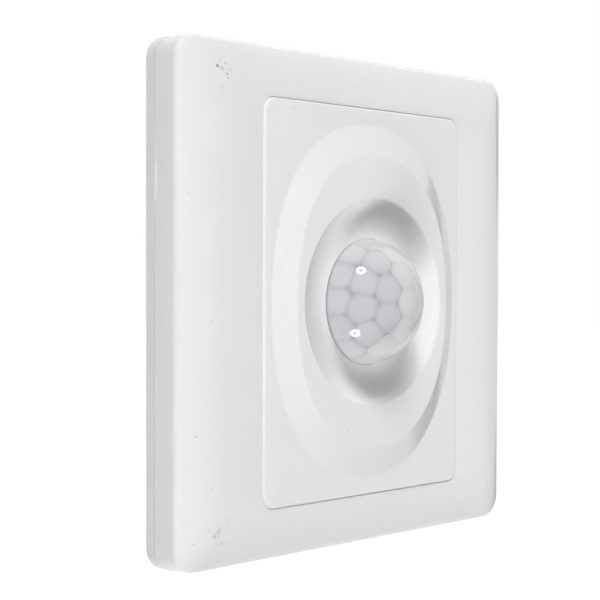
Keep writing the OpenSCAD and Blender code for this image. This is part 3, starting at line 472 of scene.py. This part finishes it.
def build_lens():
    groove_r = LENS_R - LENS_WALL
    lenslet_out = groove_r - LENSLET_RISE + LENSLET_R
    cells = lenslets()

    def wall(d):
        """The inner radius in a direction, and the marks there.

        The marks are how full the lenslet is, its seam, its knot, its painted tone and its lean.
        """
        ranked = sorted(((axis.dot(d), axis, pale) for axis, pale in cells), key=lambda c: -c[0])
        first, axis, pale = ranked[0]
        tilts = [math.acos(min(c[0], 1.0)) for c in ranked[:3]]
        along = lenslet_out * first
        inside = along * along - (lenslet_out ** 2 - LENSLET_R ** 2)
        near = along - math.sqrt(inside) if inside > 0 else groove_r
        near = min(near, groove_r)
        seam = max(0.0, 1.0 - (tilts[1] - tilts[0]) / 2 / SEAM_WIDTH) ** 2
        knot = max(0.0, 1.0 - (tilts[2] - tilts[0]) / 2 / KNOT_WIDTH) ** 2
        lean = (d + LENS_LEAN * (d - axis * first)).normalized()
        return near, ((groove_r - near) / LENSLET_RISE, seam, knot, pale, lean)

    bm = bmesh.new()
    layers = [bm.verts.layers.float.new(name) for name in ("cell", "seam", "knot", "pale")]
    relief = bm.verts.layers.float_vector.new("relief")

    def vert(x, y, z, marks):
        v = bm.verts.new(place(x, y, z))
        for layer, value in zip(layers, marks):
            v[layer] = value
        lean = marks[4]
        v[relief] = (lean.x, -lean.z, lean.y)
        return v

    def dome_row(tilt, inner):
        row = []
        for k in range(LENS_TURNS):
            a = 2 * math.pi * k / LENS_TURNS
            flat = math.sin(tilt)
            d = Vector((flat * math.cos(a), flat * math.sin(a), math.cos(tilt)))
            near, marks = wall(d)
            r = near if inner else LENS_R
            row.append(vert(d.x * r, d.y * r, LENS_MIDDLE + d.z * r, marks))
        return row

    def plain_row(r, z):
        row = []
        for k in range(LENS_TURNS):
            a = 2 * math.pi * k / LENS_TURNS
            marks = (0.0, 0.0, 0.0, 1.0, Vector((math.cos(a), math.sin(a), 0.0)))
            row.append(vert(r * math.cos(a), r * math.sin(a), z, marks))
        return row

    tilts = [math.pi / 2 * i / LENS_TILTS for i in range(1, LENS_TILTS + 1)]
    rows = [dome_row(t, False) for t in tilts]
    rows.append(plain_row(LENS_R, PANEL_BACK + LENS_FOOT_GAP))
    rows.append(plain_row(FLANGE_R - FLANGE_CUT, PANEL_BACK))
    rows.append(plain_row(FLANGE_R, PANEL_BACK - FLANGE_CUT))
    rows.append(plain_row(FLANGE_R, FLANGE_BACK))
    rows.append(plain_row(groove_r, FLANGE_BACK))
    rows += [dome_row(t, True) for t in reversed(tilts)]
    for low, high in zip(rows, rows[1:]):
        join_rows(bm, low, high)
    crown = Vector((0, 0, 1))
    near, marks = wall(crown)
    for row, r in ((rows[0], LENS_R), (rows[-1], near)):
        pole = vert(0, 0, LENS_MIDDLE + r, marks)
        for i in range(LENS_TURNS):
            bm.faces.new((row[i], row[(i + 1) % LENS_TURNS], pole))
    return mesh_from("fresnel_lens_dome", bm)


# Materials

# Bands of a noise's values that are spread out: nearly all of it, and its middle
NOISE_BAND = (0.3, 0.7)
MIDDLE_BAND = (0.35, 0.65)

# Plastic: scales of its patterns and tones of what lies on it
PLASTIC_IOR = 1.49
FLOW_SCALE = 55.0
FLOW_SHARE = 0.985
SHEEN_SCALE = 320.0
SHEEN_LOW = 0.85
SHEEN_HIGH = 1.2
SPECK_SCALE = 1700.0
SPECK_BAND = (0.785, 0.81)
SPECK_SHARE = 0.55
SPECK_TONE = (0.20, 0.18, 0.16)
SCUFF_SCALE = 900.0
SCUFF_BAND = (0.52, 0.70)
SCUFF_TONE = (0.30, 0.28, 0.26)
CHIP_SCALE = 2600.0
CHIP_BAND = (0.40, 0.60)
CHIP_LEAST = 0.25
CHIP_CORE = 0.4
CHIP_TONE = (0.16, 0.14, 0.12)

# Lens: heights from the wall between which its tone changes, and its tones
LENS_CROWN_Z = 18.5
LENS_BASE_Z = 11.0
LENS_SHADE_TOP_Z = 10.4
LENS_SHADE_Z = 10.0
CELL_BAND = (0.2, 0.75)
# Painted see-through tones, dim and pale, each darker where the lenslet is thin as painted shade
DIM_TONE = (0.55, 0.558, 0.582)
DIM_THIN_TONE = (0.50, 0.512, 0.538)
PALE_BASE_TONE = (0.50, 0.50, 0.506)
PALE_CROWN_TONE = (0.65, 0.65, 0.652)
PALE_THIN_TONE = (0.48, 0.485, 0.49)
PALE_THIN_SHARE = 0.25
# Painted shade in the grooves, at the knots and at the foot
GROOVE_SHADE_TONE = (0.34, 0.355, 0.375)
KNOT_SHADE_TONE = (0.26, 0.275, 0.29)
SHADE_TONE = (0.26, 0.28, 0.30)
CLOUD_TONE = (0.9, 0.9, 0.9)
CLOUD_SCALE = 260.0
CLOUD_SHARE = 0.06
# Shares of the painted shade in grooves, at knots and at the foot: on a dim cell, on a pale one
GROOVE_SHARES = (0.30, 0.04)
KNOT_SHARES = (0.6, 0.1)
SHADE_SHARES = (1.0, 0.0)
SHADE_MOST = 0.8

# Boards, metal, filter glass and resin
WEAVE_SCALE = 380.0
WEAVE_DISTORTION = 1.5
WEAVE_FADE_SCALE = 200.0
WEAVE_LIGHT = 1.5
STAIN_SCALE = 260.0
STAIN_DARK = 0.82
SCRATCH_SCALE = 1200.0
SCRATCH_LOW = 0.7
SCRATCH_HIGH = 1.4
FILTER_SCALE = 300.0
FILTER_TONES = ((0.035, 0.03, 0.04), (0.06, 0.045, 0.06))
RESIN_TONE_SCALE = 220.0
RESIN_DARK = 0.85
RESIN_LIGHT = 1.15
RESIN_SHEEN_SCALE = 700.0
RESIN_ROUGHNESS = (0.28, 0.42)
RESIN_SKIN_SCALE = 500.0


class Look:
    """A node material that is written from its shader outwards."""

    def __init__(self, name, **values):
        self.material = bpy.data.materials.new(name)
        self.material.use_nodes = True
        self.tree = self.material.node_tree
        self.shader = self.tree.nodes["Principled BSDF"]
        self.set(**values)
        self.coords = self.tree.nodes.new("ShaderNodeTexCoord").outputs["Object"]

    def set(self, **values):
        for key, value in values.items():
            self.shader.inputs[key.replace("_", " ")].default_value = value

    def give(self, socket, value):
        """Links a socket to another one, or sets it to a plain value."""
        if isinstance(value, bpy.types.NodeSocket):
            self.tree.links.new(value, socket)
        else:
            socket.default_value = value

    def node(self, kind, inputs=None, **settings):
        made = self.tree.nodes.new(kind)
        for key, value in settings.items():
            setattr(made, key, value)
        for key, value in (inputs or {}).items():
            self.give(made.inputs[key], value)
        return made

    def feed(self, name, socket):
        self.tree.links.new(socket, self.shader.inputs[name])

    def attribute(self, name, output="Fac"):
        return self.node("ShaderNodeAttribute", attribute_name=name).outputs[output]

    def noise(self, scale, detail=2.0, roughness=0.5):
        inputs = {"Vector": self.coords, "Scale": scale, "Detail": detail, "Roughness": roughness}
        return self.node("ShaderNodeTexNoise", inputs).outputs["Fac"]

    def spread(self, socket, low, high, out_low, out_high):
        """Carries the values from low to high over to those from out_low to out_high."""
        inputs = {"Value": socket, "From Min": low, "From Max": high}
        inputs.update({"To Min": out_low, "To Max": out_high})
        return self.node("ShaderNodeMapRange", inputs).outputs["Result"]

    def blend(self, factor, a, b):
        """Mixes two colours through the sockets that the mix node has open for colours."""
        made = self.node("ShaderNodeMix", data_type="RGBA")
        opened = [s for s in made.inputs if s.enabled and s.type in ("VALUE", "RGBA")]
        for key, value in (("Factor", factor), ("A", a), ("B", b)):
            self.give(next(s for s in opened if s.name == key), value)
        return next(s for s in made.outputs if s.enabled)

    def times(self, a, b):
        return self.node("ShaderNodeMath", {0: a, 1: b}, operation="MULTIPLY").outputs[0]

    def near(self, point, inner, outer):
        """1 close to a point of the part, falling to 0 at the outer distance, in millimetres."""
        ends = {0: self.coords, 1: place(*point)}
        gap = self.node("ShaderNodeVectorMath", ends, operation="DISTANCE").outputs["Value"]
        return self.spread(gap, inner * MM, outer * MM, 1.0, 0.0)

    def bump(self, height, strength, distance):
        """A surface roughened by a height, with its depth in millimetres."""
        inputs = {"Height": height, "Strength": strength, "Distance": distance * MM}
        return self.node("ShaderNodeBump", inputs).outputs["Normal"]


def colour(value):
    return (*value, 1.0)


def shade(value, share):
    return colour([c * share for c in value])


def moulded_plastic(name, tone, roughness, grain, marks=(), chips=(), streak=FLOW_SHARE):
    """Plastic with faint flow marks, an orange-peel skin, specks, and the marks and chips given.

    Marks and chips each have a point of the part, a size in millimetres and a strength. The
    streak is the share of the tone that the flow marks keep.
    """
    look = Look(name, IOR=PLASTIC_IOR)
    flow = look.spread(look.noise(FLOW_SCALE, detail=3.0), *MIDDLE_BAND, 0.0, 1.0)
    base = look.blend(flow, colour(tone), shade(tone, streak))
    specks = look.spread(look.noise(SPECK_SCALE, detail=1.0), *SPECK_BAND, 0.0, SPECK_SHARE)
    base = look.blend(specks, base, colour(SPECK_TONE))
    for point, size, strength in marks:
        grit = look.noise(SCUFF_SCALE, detail=4.0, roughness=0.7)
        broken = look.spread(grit, *SCUFF_BAND, 0.0, strength)
        scuff = look.times(look.near(point, 0.0, size), broken)
        base = look.blend(scuff, base, colour(SCUFF_TONE))
    for point, size, strength in chips:
        grit = look.noise(CHIP_SCALE)
        ragged = look.spread(grit, *CHIP_BAND, CHIP_LEAST * strength, strength)
        chip = look.times(look.near(point, CHIP_CORE * size, size), ragged)
        base = look.blend(chip, base, colour(CHIP_TONE))
    look.feed("Base Color", base)
    sheen = look.noise(SHEEN_SCALE, detail=3.0)
    low, high = roughness * SHEEN_LOW, roughness * SHEEN_HIGH
    look.feed("Roughness", look.spread(sheen, *NOISE_BAND, low, high))
    look.feed("Normal", look.bump(look.noise(grain), strength=0.05, distance=0.02))
    return look.material


def milky_lens(name):
    """Polyethylene: smooth and shiny outside, the lenslets behind painted as soft shaded cells."""
    look = Look(name, IOR=1.5, Roughness=0.42, Specular_IOR_Level=0.0)
    look.set(Subsurface_Weight=0.35, Subsurface_Scale=0.002, Subsurface_Radius=(1.0, 1.0, 1.0))
    look.set(Coat_Weight=1.0, Coat_Roughness=0.01, Coat_IOR=1.5)
    lean = look.attribute("relief", "Vector")
    turned = look.node("ShaderNodeVectorTransform", {"Vector": lean}, vector_type="NORMAL",
                       convert_from="OBJECT", convert_to="WORLD")
    look.feed("Normal", turned.outputs["Vector"])
    pale = look.attribute("pale")

    # Dim and pale cells in painted tones, each with painted shade where the lenslet is thin
    thin = look.spread(look.attribute("cell"), *CELL_BAND, 1.0, 0.0)
    dim = look.blend(thin, colour(DIM_TONE), colour(DIM_THIN_TONE))
    out = look.node("ShaderNodeSeparateXYZ", {0: look.coords}).outputs["Y"]
    crown = look.spread(out, -LENS_CROWN_Z * MM, -LENS_BASE_Z * MM, 1.0, 0.0)
    light = look.blend(crown, colour(PALE_BASE_TONE), colour(PALE_CROWN_TONE))
    light = look.blend(look.times(thin, PALE_THIN_SHARE), light, colour(PALE_THIN_TONE))
    body = look.blend(pale, dim, light)

    # Painted shade on seams, at the knots where they meet and at the foot; a faint cloud over all
    groove_shade = look.times(look.attribute("seam"), look.spread(pale, 0.0, 1.0, *GROOVE_SHARES))
    body = look.blend(groove_shade, body, colour(GROOVE_SHADE_TONE))
    knot_shade = look.times(look.attribute("knot"), look.spread(pale, 0.0, 1.0, *KNOT_SHARES))
    body = look.blend(knot_shade, body, colour(KNOT_SHADE_TONE))
    foot = look.spread(out, -LENS_SHADE_TOP_Z * MM, -LENS_SHADE_Z * MM, 0.0, SHADE_MOST)
    foot = look.times(foot, look.spread(pale, 0.0, 1.0, *SHADE_SHARES))
    body = look.blend(foot, body, colour(SHADE_TONE))
    cloud = look.spread(look.noise(CLOUD_SCALE, detail=3.0), *NOISE_BAND, 0.0, CLOUD_SHARE)
    look.feed("Base Color", look.blend(cloud, body, colour(CLOUD_TONE)))
    return look.material


def laminate(name, tone):
    """Circuit board with a weave that shows in patches."""
    look = Look(name, Roughness=0.35, IOR=1.5)
    inputs = {"Vector": look.coords, "Scale": WEAVE_SCALE, "Distortion": WEAVE_DISTORTION}
    weave = look.node("ShaderNodeTexWave", inputs).outputs["Fac"]
    patches = look.times(weave, look.noise(WEAVE_FADE_SCALE))
    look.feed("Base Color", look.blend(patches, colour(tone), shade(tone, WEAVE_LIGHT)))
    look.feed("Normal", look.bump(weave, strength=0.15, distance=0.03))
    return look.material


def metal(name, tone, roughness):
    """Metal with faint stains and a finely scratched skin."""
    look = Look(name, Metallic=1.0)
    stain = look.spread(look.noise(STAIN_SCALE, detail=4.0), *MIDDLE_BAND, 0.0, 1.0)
    look.feed("Base Color", look.blend(stain, colour(tone), shade(tone, STAIN_DARK)))
    scratches = look.noise(SCRATCH_SCALE)
    low, high = roughness * SCRATCH_LOW, roughness * SCRATCH_HIGH
    look.feed("Roughness", look.spread(scratches, *NOISE_BAND, low, high))
    look.feed("Normal", look.bump(scratches, strength=0.12, distance=0.02))
    return look.material


def filter_window(name):
    """Dark filter glass with a faint change of tint."""
    look = Look(name, Roughness=0.12, IOR=1.6)
    tint = look.spread(look.noise(FILTER_SCALE), *NOISE_BAND, 0.0, 1.0)
    look.feed("Base Color", look.blend(tint, *(colour(tone) for tone in FILTER_TONES)))
    return look.material


def resin_coat(name, tone):
    """Dipped resin: uneven in tone and height under a thin gloss."""
    look = Look(name, IOR=1.5)
    look.set(Coat_Weight=0.4, Coat_Roughness=0.15)
    cloudy = look.noise(RESIN_TONE_SCALE, detail=3.0)
    look.feed("Base Color", look.blend(cloudy, shade(tone, RESIN_DARK), shade(tone, RESIN_LIGHT)))
    sheen = look.noise(RESIN_SHEEN_SCALE)
    look.feed("Roughness", look.spread(sheen, *NOISE_BAND, *RESIN_ROUGHNESS))
    look.feed("Normal", look.bump(look.noise(RESIN_SKIN_SCALE), strength=0.25, distance=0.06))
    return look.material


def on_cover(x, y):
    """The point of the cover's front at a place."""
    radius = pillow_radius()
    past = max(0.0, max(abs(x), abs(y)) - (HALF - PILLOW_W))
    return (x, y, COVER_FRONT - radius + math.sqrt(radius ** 2 - past ** 2))


# Scuffs and chips on the cover and the panel: where, how large and how strong
COVER_MARKS = (
    (on_cover(-37.1, 39.7), 1.6, 0.25),
    (on_cover(-35.5, -36.7), 3.5, 0.6),
    (on_cover(37.6, -36.2), 3.0, 0.6),
)
COVER_CHIPS = (
    (on_cover(-35.9, 37.95), 0.42, 0.95),
    (on_cover(-34.99, 37.56), 0.40, 0.7),
    (on_cover(-34.02, 36.77), 0.30, 0.6),
    (on_cover(-33.9, 36.1), 0.28, 0.5),
    (on_cover(-35.12, 38.93), 0.28, 0.5),
    (on_cover(-34.11, 38.55), 0.28, 0.6),
    (on_cover(-33.11, 37.51), 0.26, 0.5),
    (on_cover(-35.17, 34.58), 0.22, 0.5),
    (on_cover(-41.14, 17.62), 0.22, 0.5),
)
PANEL_CHIPS = (
    ((-19.2, 32.5, PANEL_FRONT), 0.25, 0.5),
)

# One look for each material slot
LOOKS = {}


def add_look(slot, make, *values, **more):
    LOOKS[slot] = make(slot, *values, **more)


# Plastics: tone, roughness, scale of the skin's grain, and what else they have
add_look("cover_white", moulded_plastic, (0.808, 0.792, 0.799), 0.09, 420.0,
         marks=COVER_MARKS, chips=COVER_CHIPS)
add_look("plate_white", moulded_plastic, (0.755, 0.745, 0.750), 0.36, 650.0)
add_look("panel_white", moulded_plastic, (0.815, 0.807, 0.810), 0.07, 420.0, chips=PANEL_CHIPS)
add_look("holder_black", moulded_plastic, (0.03, 0.03, 0.03), 0.5, 900.0, streak=0.8)
add_look("chip_black", moulded_plastic, (0.02, 0.02, 0.02), 0.55, 1400.0, streak=0.7)
add_look("relay_blue", moulded_plastic, (0.05, 0.13, 0.35), 0.3, 800.0, streak=0.9)
add_look("film_yellow", moulded_plastic, (0.80, 0.60, 0.06), 0.3, 800.0, streak=0.93)
add_look("sleeve_black", moulded_plastic, (0.03, 0.03, 0.04), 0.3, 600.0, streak=0.8)
add_look("fuse_brown", moulded_plastic, (0.25, 0.10, 0.05), 0.35, 700.0, streak=0.85)
add_look("terminal_green", moulded_plastic, (0.04, 0.30, 0.16), 0.38, 800.0, streak=0.9)
add_look("trimmer_blue", moulded_plastic, (0.05, 0.18, 0.45), 0.36, 800.0, streak=0.9)
add_look("rotor_white", moulded_plastic, (0.78, 0.77, 0.73), 0.35, 800.0)
add_look("housing_white", moulded_plastic, (0.77, 0.77, 0.76), 0.36, 650.0)
# Metals: tone and roughness
add_look("can_metal", metal, (0.66, 0.66, 0.65), 0.25)
add_look("capacitor_can", metal, (0.75, 0.75, 0.76), 0.22)
add_look("pin_gold", metal, (0.78, 0.60, 0.25), 0.25)
add_look("contact_brass", metal, (0.72, 0.53, 0.24), 0.28)
add_look("screw_steel", metal, (0.62, 0.62, 0.61), 0.26)
# Lens, filter glass, boards and resin
add_look("lens_milky", milky_lens)
add_look("filter_glass", filter_window)
add_look("board_green", laminate, (0.03, 0.20, 0.09))
add_look("cell_amber", resin_coat, (0.62, 0.36, 0.16))
add_look("varistor_blue", resin_coat, (0.05, 0.16, 0.42))


# Pieces that stand for CAD nodes, and the nodes that show as they are

# Angle from which an edge of a piece is sharp, in degrees
SHARP_ANGLE = 35.0
PANEL_SHARP_ANGLE = 50.0


def new_piece(name, mesh, body, slot, sharp=SHARP_ANGLE):
    """Puts a mesh into the scene, smooth but for its sharp edges, and lets it ride on a body."""
    mesh.shade_smooth()
    mesh.set_sharp_from_angle(angle=math.radians(sharp))
    mesh.materials.append(LOOKS[slot])
    piece = bpy.data.objects.new(name, mesh)
    bpy.context.scene.collection.objects.link(piece)
    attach(piece, body)
    return piece


cover = new_piece("cover_shell", build_cover(), "cover", "cover_white")
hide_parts("cover_frame")
new_piece("cover_clips", build_clips(), "cover", "cover_white")
panel = new_piece("panel_shell", build_panel(), "base", "panel_white", PANEL_SHARP_ANGLE)
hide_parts("sensor_panel")
lens = new_piece("lens_dome", build_lens(), "base", "lens_milky")
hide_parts("fresnel_lens")

# Width of the small edge break on each node that shows
EDGE_BREAK = {"mounting_plate": 0.15, "rear_housing": 0.3, "relay": 0.4}
SMALL_BREAK = 0.06
BREAK_ANGLE = 40
WELD_GAP = 0.002
# An edge break leaves dark streaks on these
SHARP_NODES = ("terminal_block",)

for part in frame["record"]["subparts"]:
    node = frame["nodes"][part["node"]]
    node.data.materials.clear()
    node.data.materials.append(LOOKS[part["material_slot"]])
    if node.hide_render or part["node"] in SHARP_NODES:
        continue
    weld = node.modifiers.new("weld", "WELD")
    weld.merge_threshold = WELD_GAP * MM
    edge = node.modifiers.new("edge", "BEVEL")
    edge.width = EDGE_BREAK.get(part["node"], SMALL_BREAK) * MM
    edge.segments = 2
    edge.limit_method = "ANGLE"
    edge.angle_limit = math.radians(BREAK_ANGLE)
    level = node.modifiers.new("level", "WEIGHTED_NORMAL")
    level.weight = 100
    level.keep_sharp = True


# Stage: a pale floor below the switch, a round lamp above and below it, soft fills, and boards
# that only mirror in it. Its lengths and places are in metres of the frame.

FLOOR_LEVEL = -0.13
FLOOR_SIZE = 6.0
FLOOR_TONES = ((0.86, 0.86, 0.86), (0.88, 0.88, 0.88))
FLOOR_SCALE = 3.0
# The floor glows less near the switch than far from it
FLOOR_NEAR, FLOOR_NEAR_GLOW = 0.2, 0.62
FLOOR_FAR, FLOOR_FAR_GLOW = 0.42, 1.0

LAMP_DISTANCE = 2.0
LAMP_R = 0.25
LAMP_STRENGTH = 28.0
LAMP_SIDES = 64
# The dim middle of a lamp: its share of the radius, how soft its rim is, and its share of the light
HUB_SHARE = 0.5
HUB_INNER = 0.85
HUB_OUTER = 1.15
HUB_LIGHT = 0.03

WORLD_LEVEL = 0.24
WORLD_SEEN = 1.0

WHITE_LIGHT = (1, 1, 1, 1)
MIDDLE = (0, 0, 0)


def look_at(point, target):
    """The turn that gives an object a Z axis along the line from the target to the point."""
    back = (Vector(point) - Vector(target)).normalized()
    return back.to_track_quat("Z", "Y")


def build_floor():
    """A floor that shows only from above and neither lights nor shades the switch."""
    bpy.ops.mesh.primitive_plane_add(size=FLOOR_SIZE, location=(0, 0, FLOOR_LEVEL))
    floor = bpy.context.object
    floor.name = "floor"
    look = Look("floor_pale", Roughness=0.9, Specular_IOR_Level=0.0)
    tones = [colour(tone) for tone in FLOOR_TONES]
    look.feed("Base Color", look.blend(look.noise(FLOOR_SCALE), *tones))
    look.set(Emission_Color=WHITE_LIGHT)
    away = look.node("ShaderNodeVectorMath", {0: look.coords}, operation="LENGTH").outputs["Value"]
    glow = look.spread(away, FLOOR_NEAR, FLOOR_FAR, FLOOR_NEAR_GLOW, FLOOR_FAR_GLOW)
    look.feed("Emission Strength", glow)
    backside = look.node("ShaderNodeNewGeometry").outputs["Backfacing"]
    clear = look.node("ShaderNodeBsdfTransparent").outputs["BSDF"]
    inputs = {0: backside, 1: look.shader.outputs["BSDF"], 2: clear}
    mix = look.node("ShaderNodeMixShader", inputs)
    look.tree.links.new(mix.outputs[0], look.tree.nodes["Material Output"].inputs["Surface"])
    floor.data.materials.append(look.material)
    floor.visible_diffuse = False
    floor.visible_glossy = False
    floor.visible_transmission = False
    floor.visible_shadow = False


def glow_material(name):
    """A material that only gives off light, and its emission node."""
    material = bpy.data.materials.new(name)
    material.use_nodes = True
    tree = material.node_tree
    tree.nodes.clear()
    glow = tree.nodes.new("ShaderNodeEmission")
    out = tree.nodes.new("ShaderNodeOutputMaterial")
    tree.links.new(glow.outputs["Emission"], out.inputs["Surface"])
    return material, glow


def build_lamp(name, direction):
    """A round lamp whose middle is dimmer, as a flash in a reflector is."""
    bpy.ops.mesh.primitive_circle_add(vertices=LAMP_SIDES, radius=LAMP_R, fill_type="NGON")
    lamp = bpy.context.object
    lamp.name = name
    spot = Vector(direction).normalized() * LAMP_DISTANCE
    lamp.location = spot
    lamp.rotation_mode = "QUATERNION"
    lamp.rotation_quaternion = look_at(MIDDLE, spot)
    material, glow = glow_material(name)
    tree = material.node_tree
    coords = tree.nodes.new("ShaderNodeTexCoord")
    length = tree.nodes.new("ShaderNodeVectorMath")
    length.operation = "LENGTH"
    ring = tree.nodes.new("ShaderNodeMapRange")
    ring.inputs["From Min"].default_value = LAMP_R * HUB_SHARE * HUB_INNER
    ring.inputs["From Max"].default_value = LAMP_R * HUB_SHARE * HUB_OUTER
    ring.inputs["To Min"].default_value = LAMP_STRENGTH * HUB_LIGHT
    ring.inputs["To Max"].default_value = LAMP_STRENGTH
    tree.links.new(coords.outputs["Object"], length.inputs[0])
    tree.links.new(length.outputs["Value"], ring.inputs["Value"])
    tree.links.new(ring.outputs["Result"], glow.inputs["Strength"])
    lamp.data.materials.append(material)
    lamp.visible_camera = False
    lamp.visible_shadow = False


def build_fill(name, at, size, power):
    """A soft round light that does not mirror in the switch."""
    data = bpy.data.lights.new(name, "AREA")
    data.shape = "DISK"
    data.size = size
    data.energy = power
    light = bpy.data.objects.new(name, data)
    bpy.context.scene.collection.objects.link(light)
    light.location = at
    light.rotation_mode = "QUATERNION"
    light.rotation_quaternion = look_at(at, MIDDLE)
    light.visible_camera = False
    light.visible_glossy = False


def build_card(name, at, width, height, strength, roll=0.0):
    """A board that only mirrors in the switch, dark at a strength of 0; the roll is in degrees."""
    bpy.ops.mesh.primitive_plane_add(size=1.0, location=at)
    card = bpy.context.object
    card.name = name
    card.scale = (width, height, 1.0)
    card.rotation_mode = "QUATERNION"
    turn = Quaternion((0, 0, 1), math.radians(roll))
    card.rotation_quaternion = look_at(MIDDLE, at) @ turn
    material, glow = glow_material(name)
    glow.inputs["Strength"].default_value = strength
    card.data.materials.append(material)
    card.visible_camera = False
    card.visible_diffuse = False
    card.visible_transmission = False
    card.visible_shadow = False


def build_world():
    """A white world, dimmer as a light than where it is seen or mirrored."""
    world = bpy.data.worlds.new("studio")
    bpy.context.scene.world = world
    world.use_nodes = True
    tree = world.node_tree
    background = tree.nodes["Background"]
    background.inputs["Color"].default_value = WHITE_LIGHT
    path = tree.nodes.new("ShaderNodeLightPath")
    seen = path.outputs["Is Camera Ray"]
    for name in ("Is Glossy Ray", "Is Transmission Ray"):
        either = tree.nodes.new("ShaderNodeMath")
        either.operation = "MAXIMUM"
        tree.links.new(seen, either.inputs[0])
        tree.links.new(path.outputs[name], either.inputs[1])
        seen = either.outputs[0]
    strength = tree.nodes.new("ShaderNodeMapRange")
    strength.inputs["To Min"].default_value = WORLD_LEVEL
    strength.inputs["To Max"].default_value = WORLD_SEEN
    tree.links.new(seen, strength.inputs["Value"])
    tree.links.new(strength.outputs["Result"], background.inputs["Strength"])


def build_camera():
    yaw, pitch, roll = (math.radians(a) for a in (YAW, PITCH, ROLL))
    level = math.cos(pitch)
    forward = Vector((math.sin(yaw) * level, math.cos(yaw) * level, math.sin(pitch)))
    flat_right = Vector((math.cos(yaw), -math.sin(yaw), 0.0))
    flat_up = flat_right.cross(forward)
    right = math.cos(roll) * flat_right + math.sin(roll) * flat_up
    up = math.cos(roll) * flat_up - math.sin(roll) * flat_right
    data = bpy.data.cameras.new("camera")
    data.sensor_width = SENSOR
    data.lens = SENSOR * FOCAL_PIXELS / PICTURE
    data.clip_start = 0.01
    data.clip_end = 20.0
    camera = bpy.data.objects.new("camera", data)
    bpy.context.scene.collection.objects.link(camera)
    turn = Matrix((right, up, -forward)).transposed().to_4x4()
    camera.matrix_world = Matrix.Translation(place(*CAMERA_AT)) @ turn
    bpy.context.scene.camera = camera


build_floor()
build_lamp("lamp_above", direction=(-0.3835, -0.3656, 0.848))
build_lamp("lamp_below", direction=(-0.4942, -0.2574, -0.8304))
build_fill("soft_above", at=(-0.48, -0.88, 1.74), size=0.9, power=24.2)
build_fill("soft_below", at=(-0.68, -0.72, -1.74), size=0.9, power=18.2)
build_fill("fill_near", at=(0.21, -0.21, 0.0), size=0.2, power=0.12)
build_fill("fill_back", at=(0.5, 0.6, 0.25), size=0.4, power=3.0)
build_card("board_upper_right", at=(1.18, 0.065, 0.185), width=0.33, height=0.11, strength=0.03,
           roll=43.0)
build_card("board_lower_right", at=(1.18, -0.015, -0.305), width=0.43, height=0.12, strength=0.0,
           roll=-40.0)
build_card("board_behind_right", at=(1.1, 0.62, 0.0), width=0.40, height=0.80, strength=0.25)
build_world()
build_camera()
bpy.context.scene.view_settings.view_transform = "Standard"
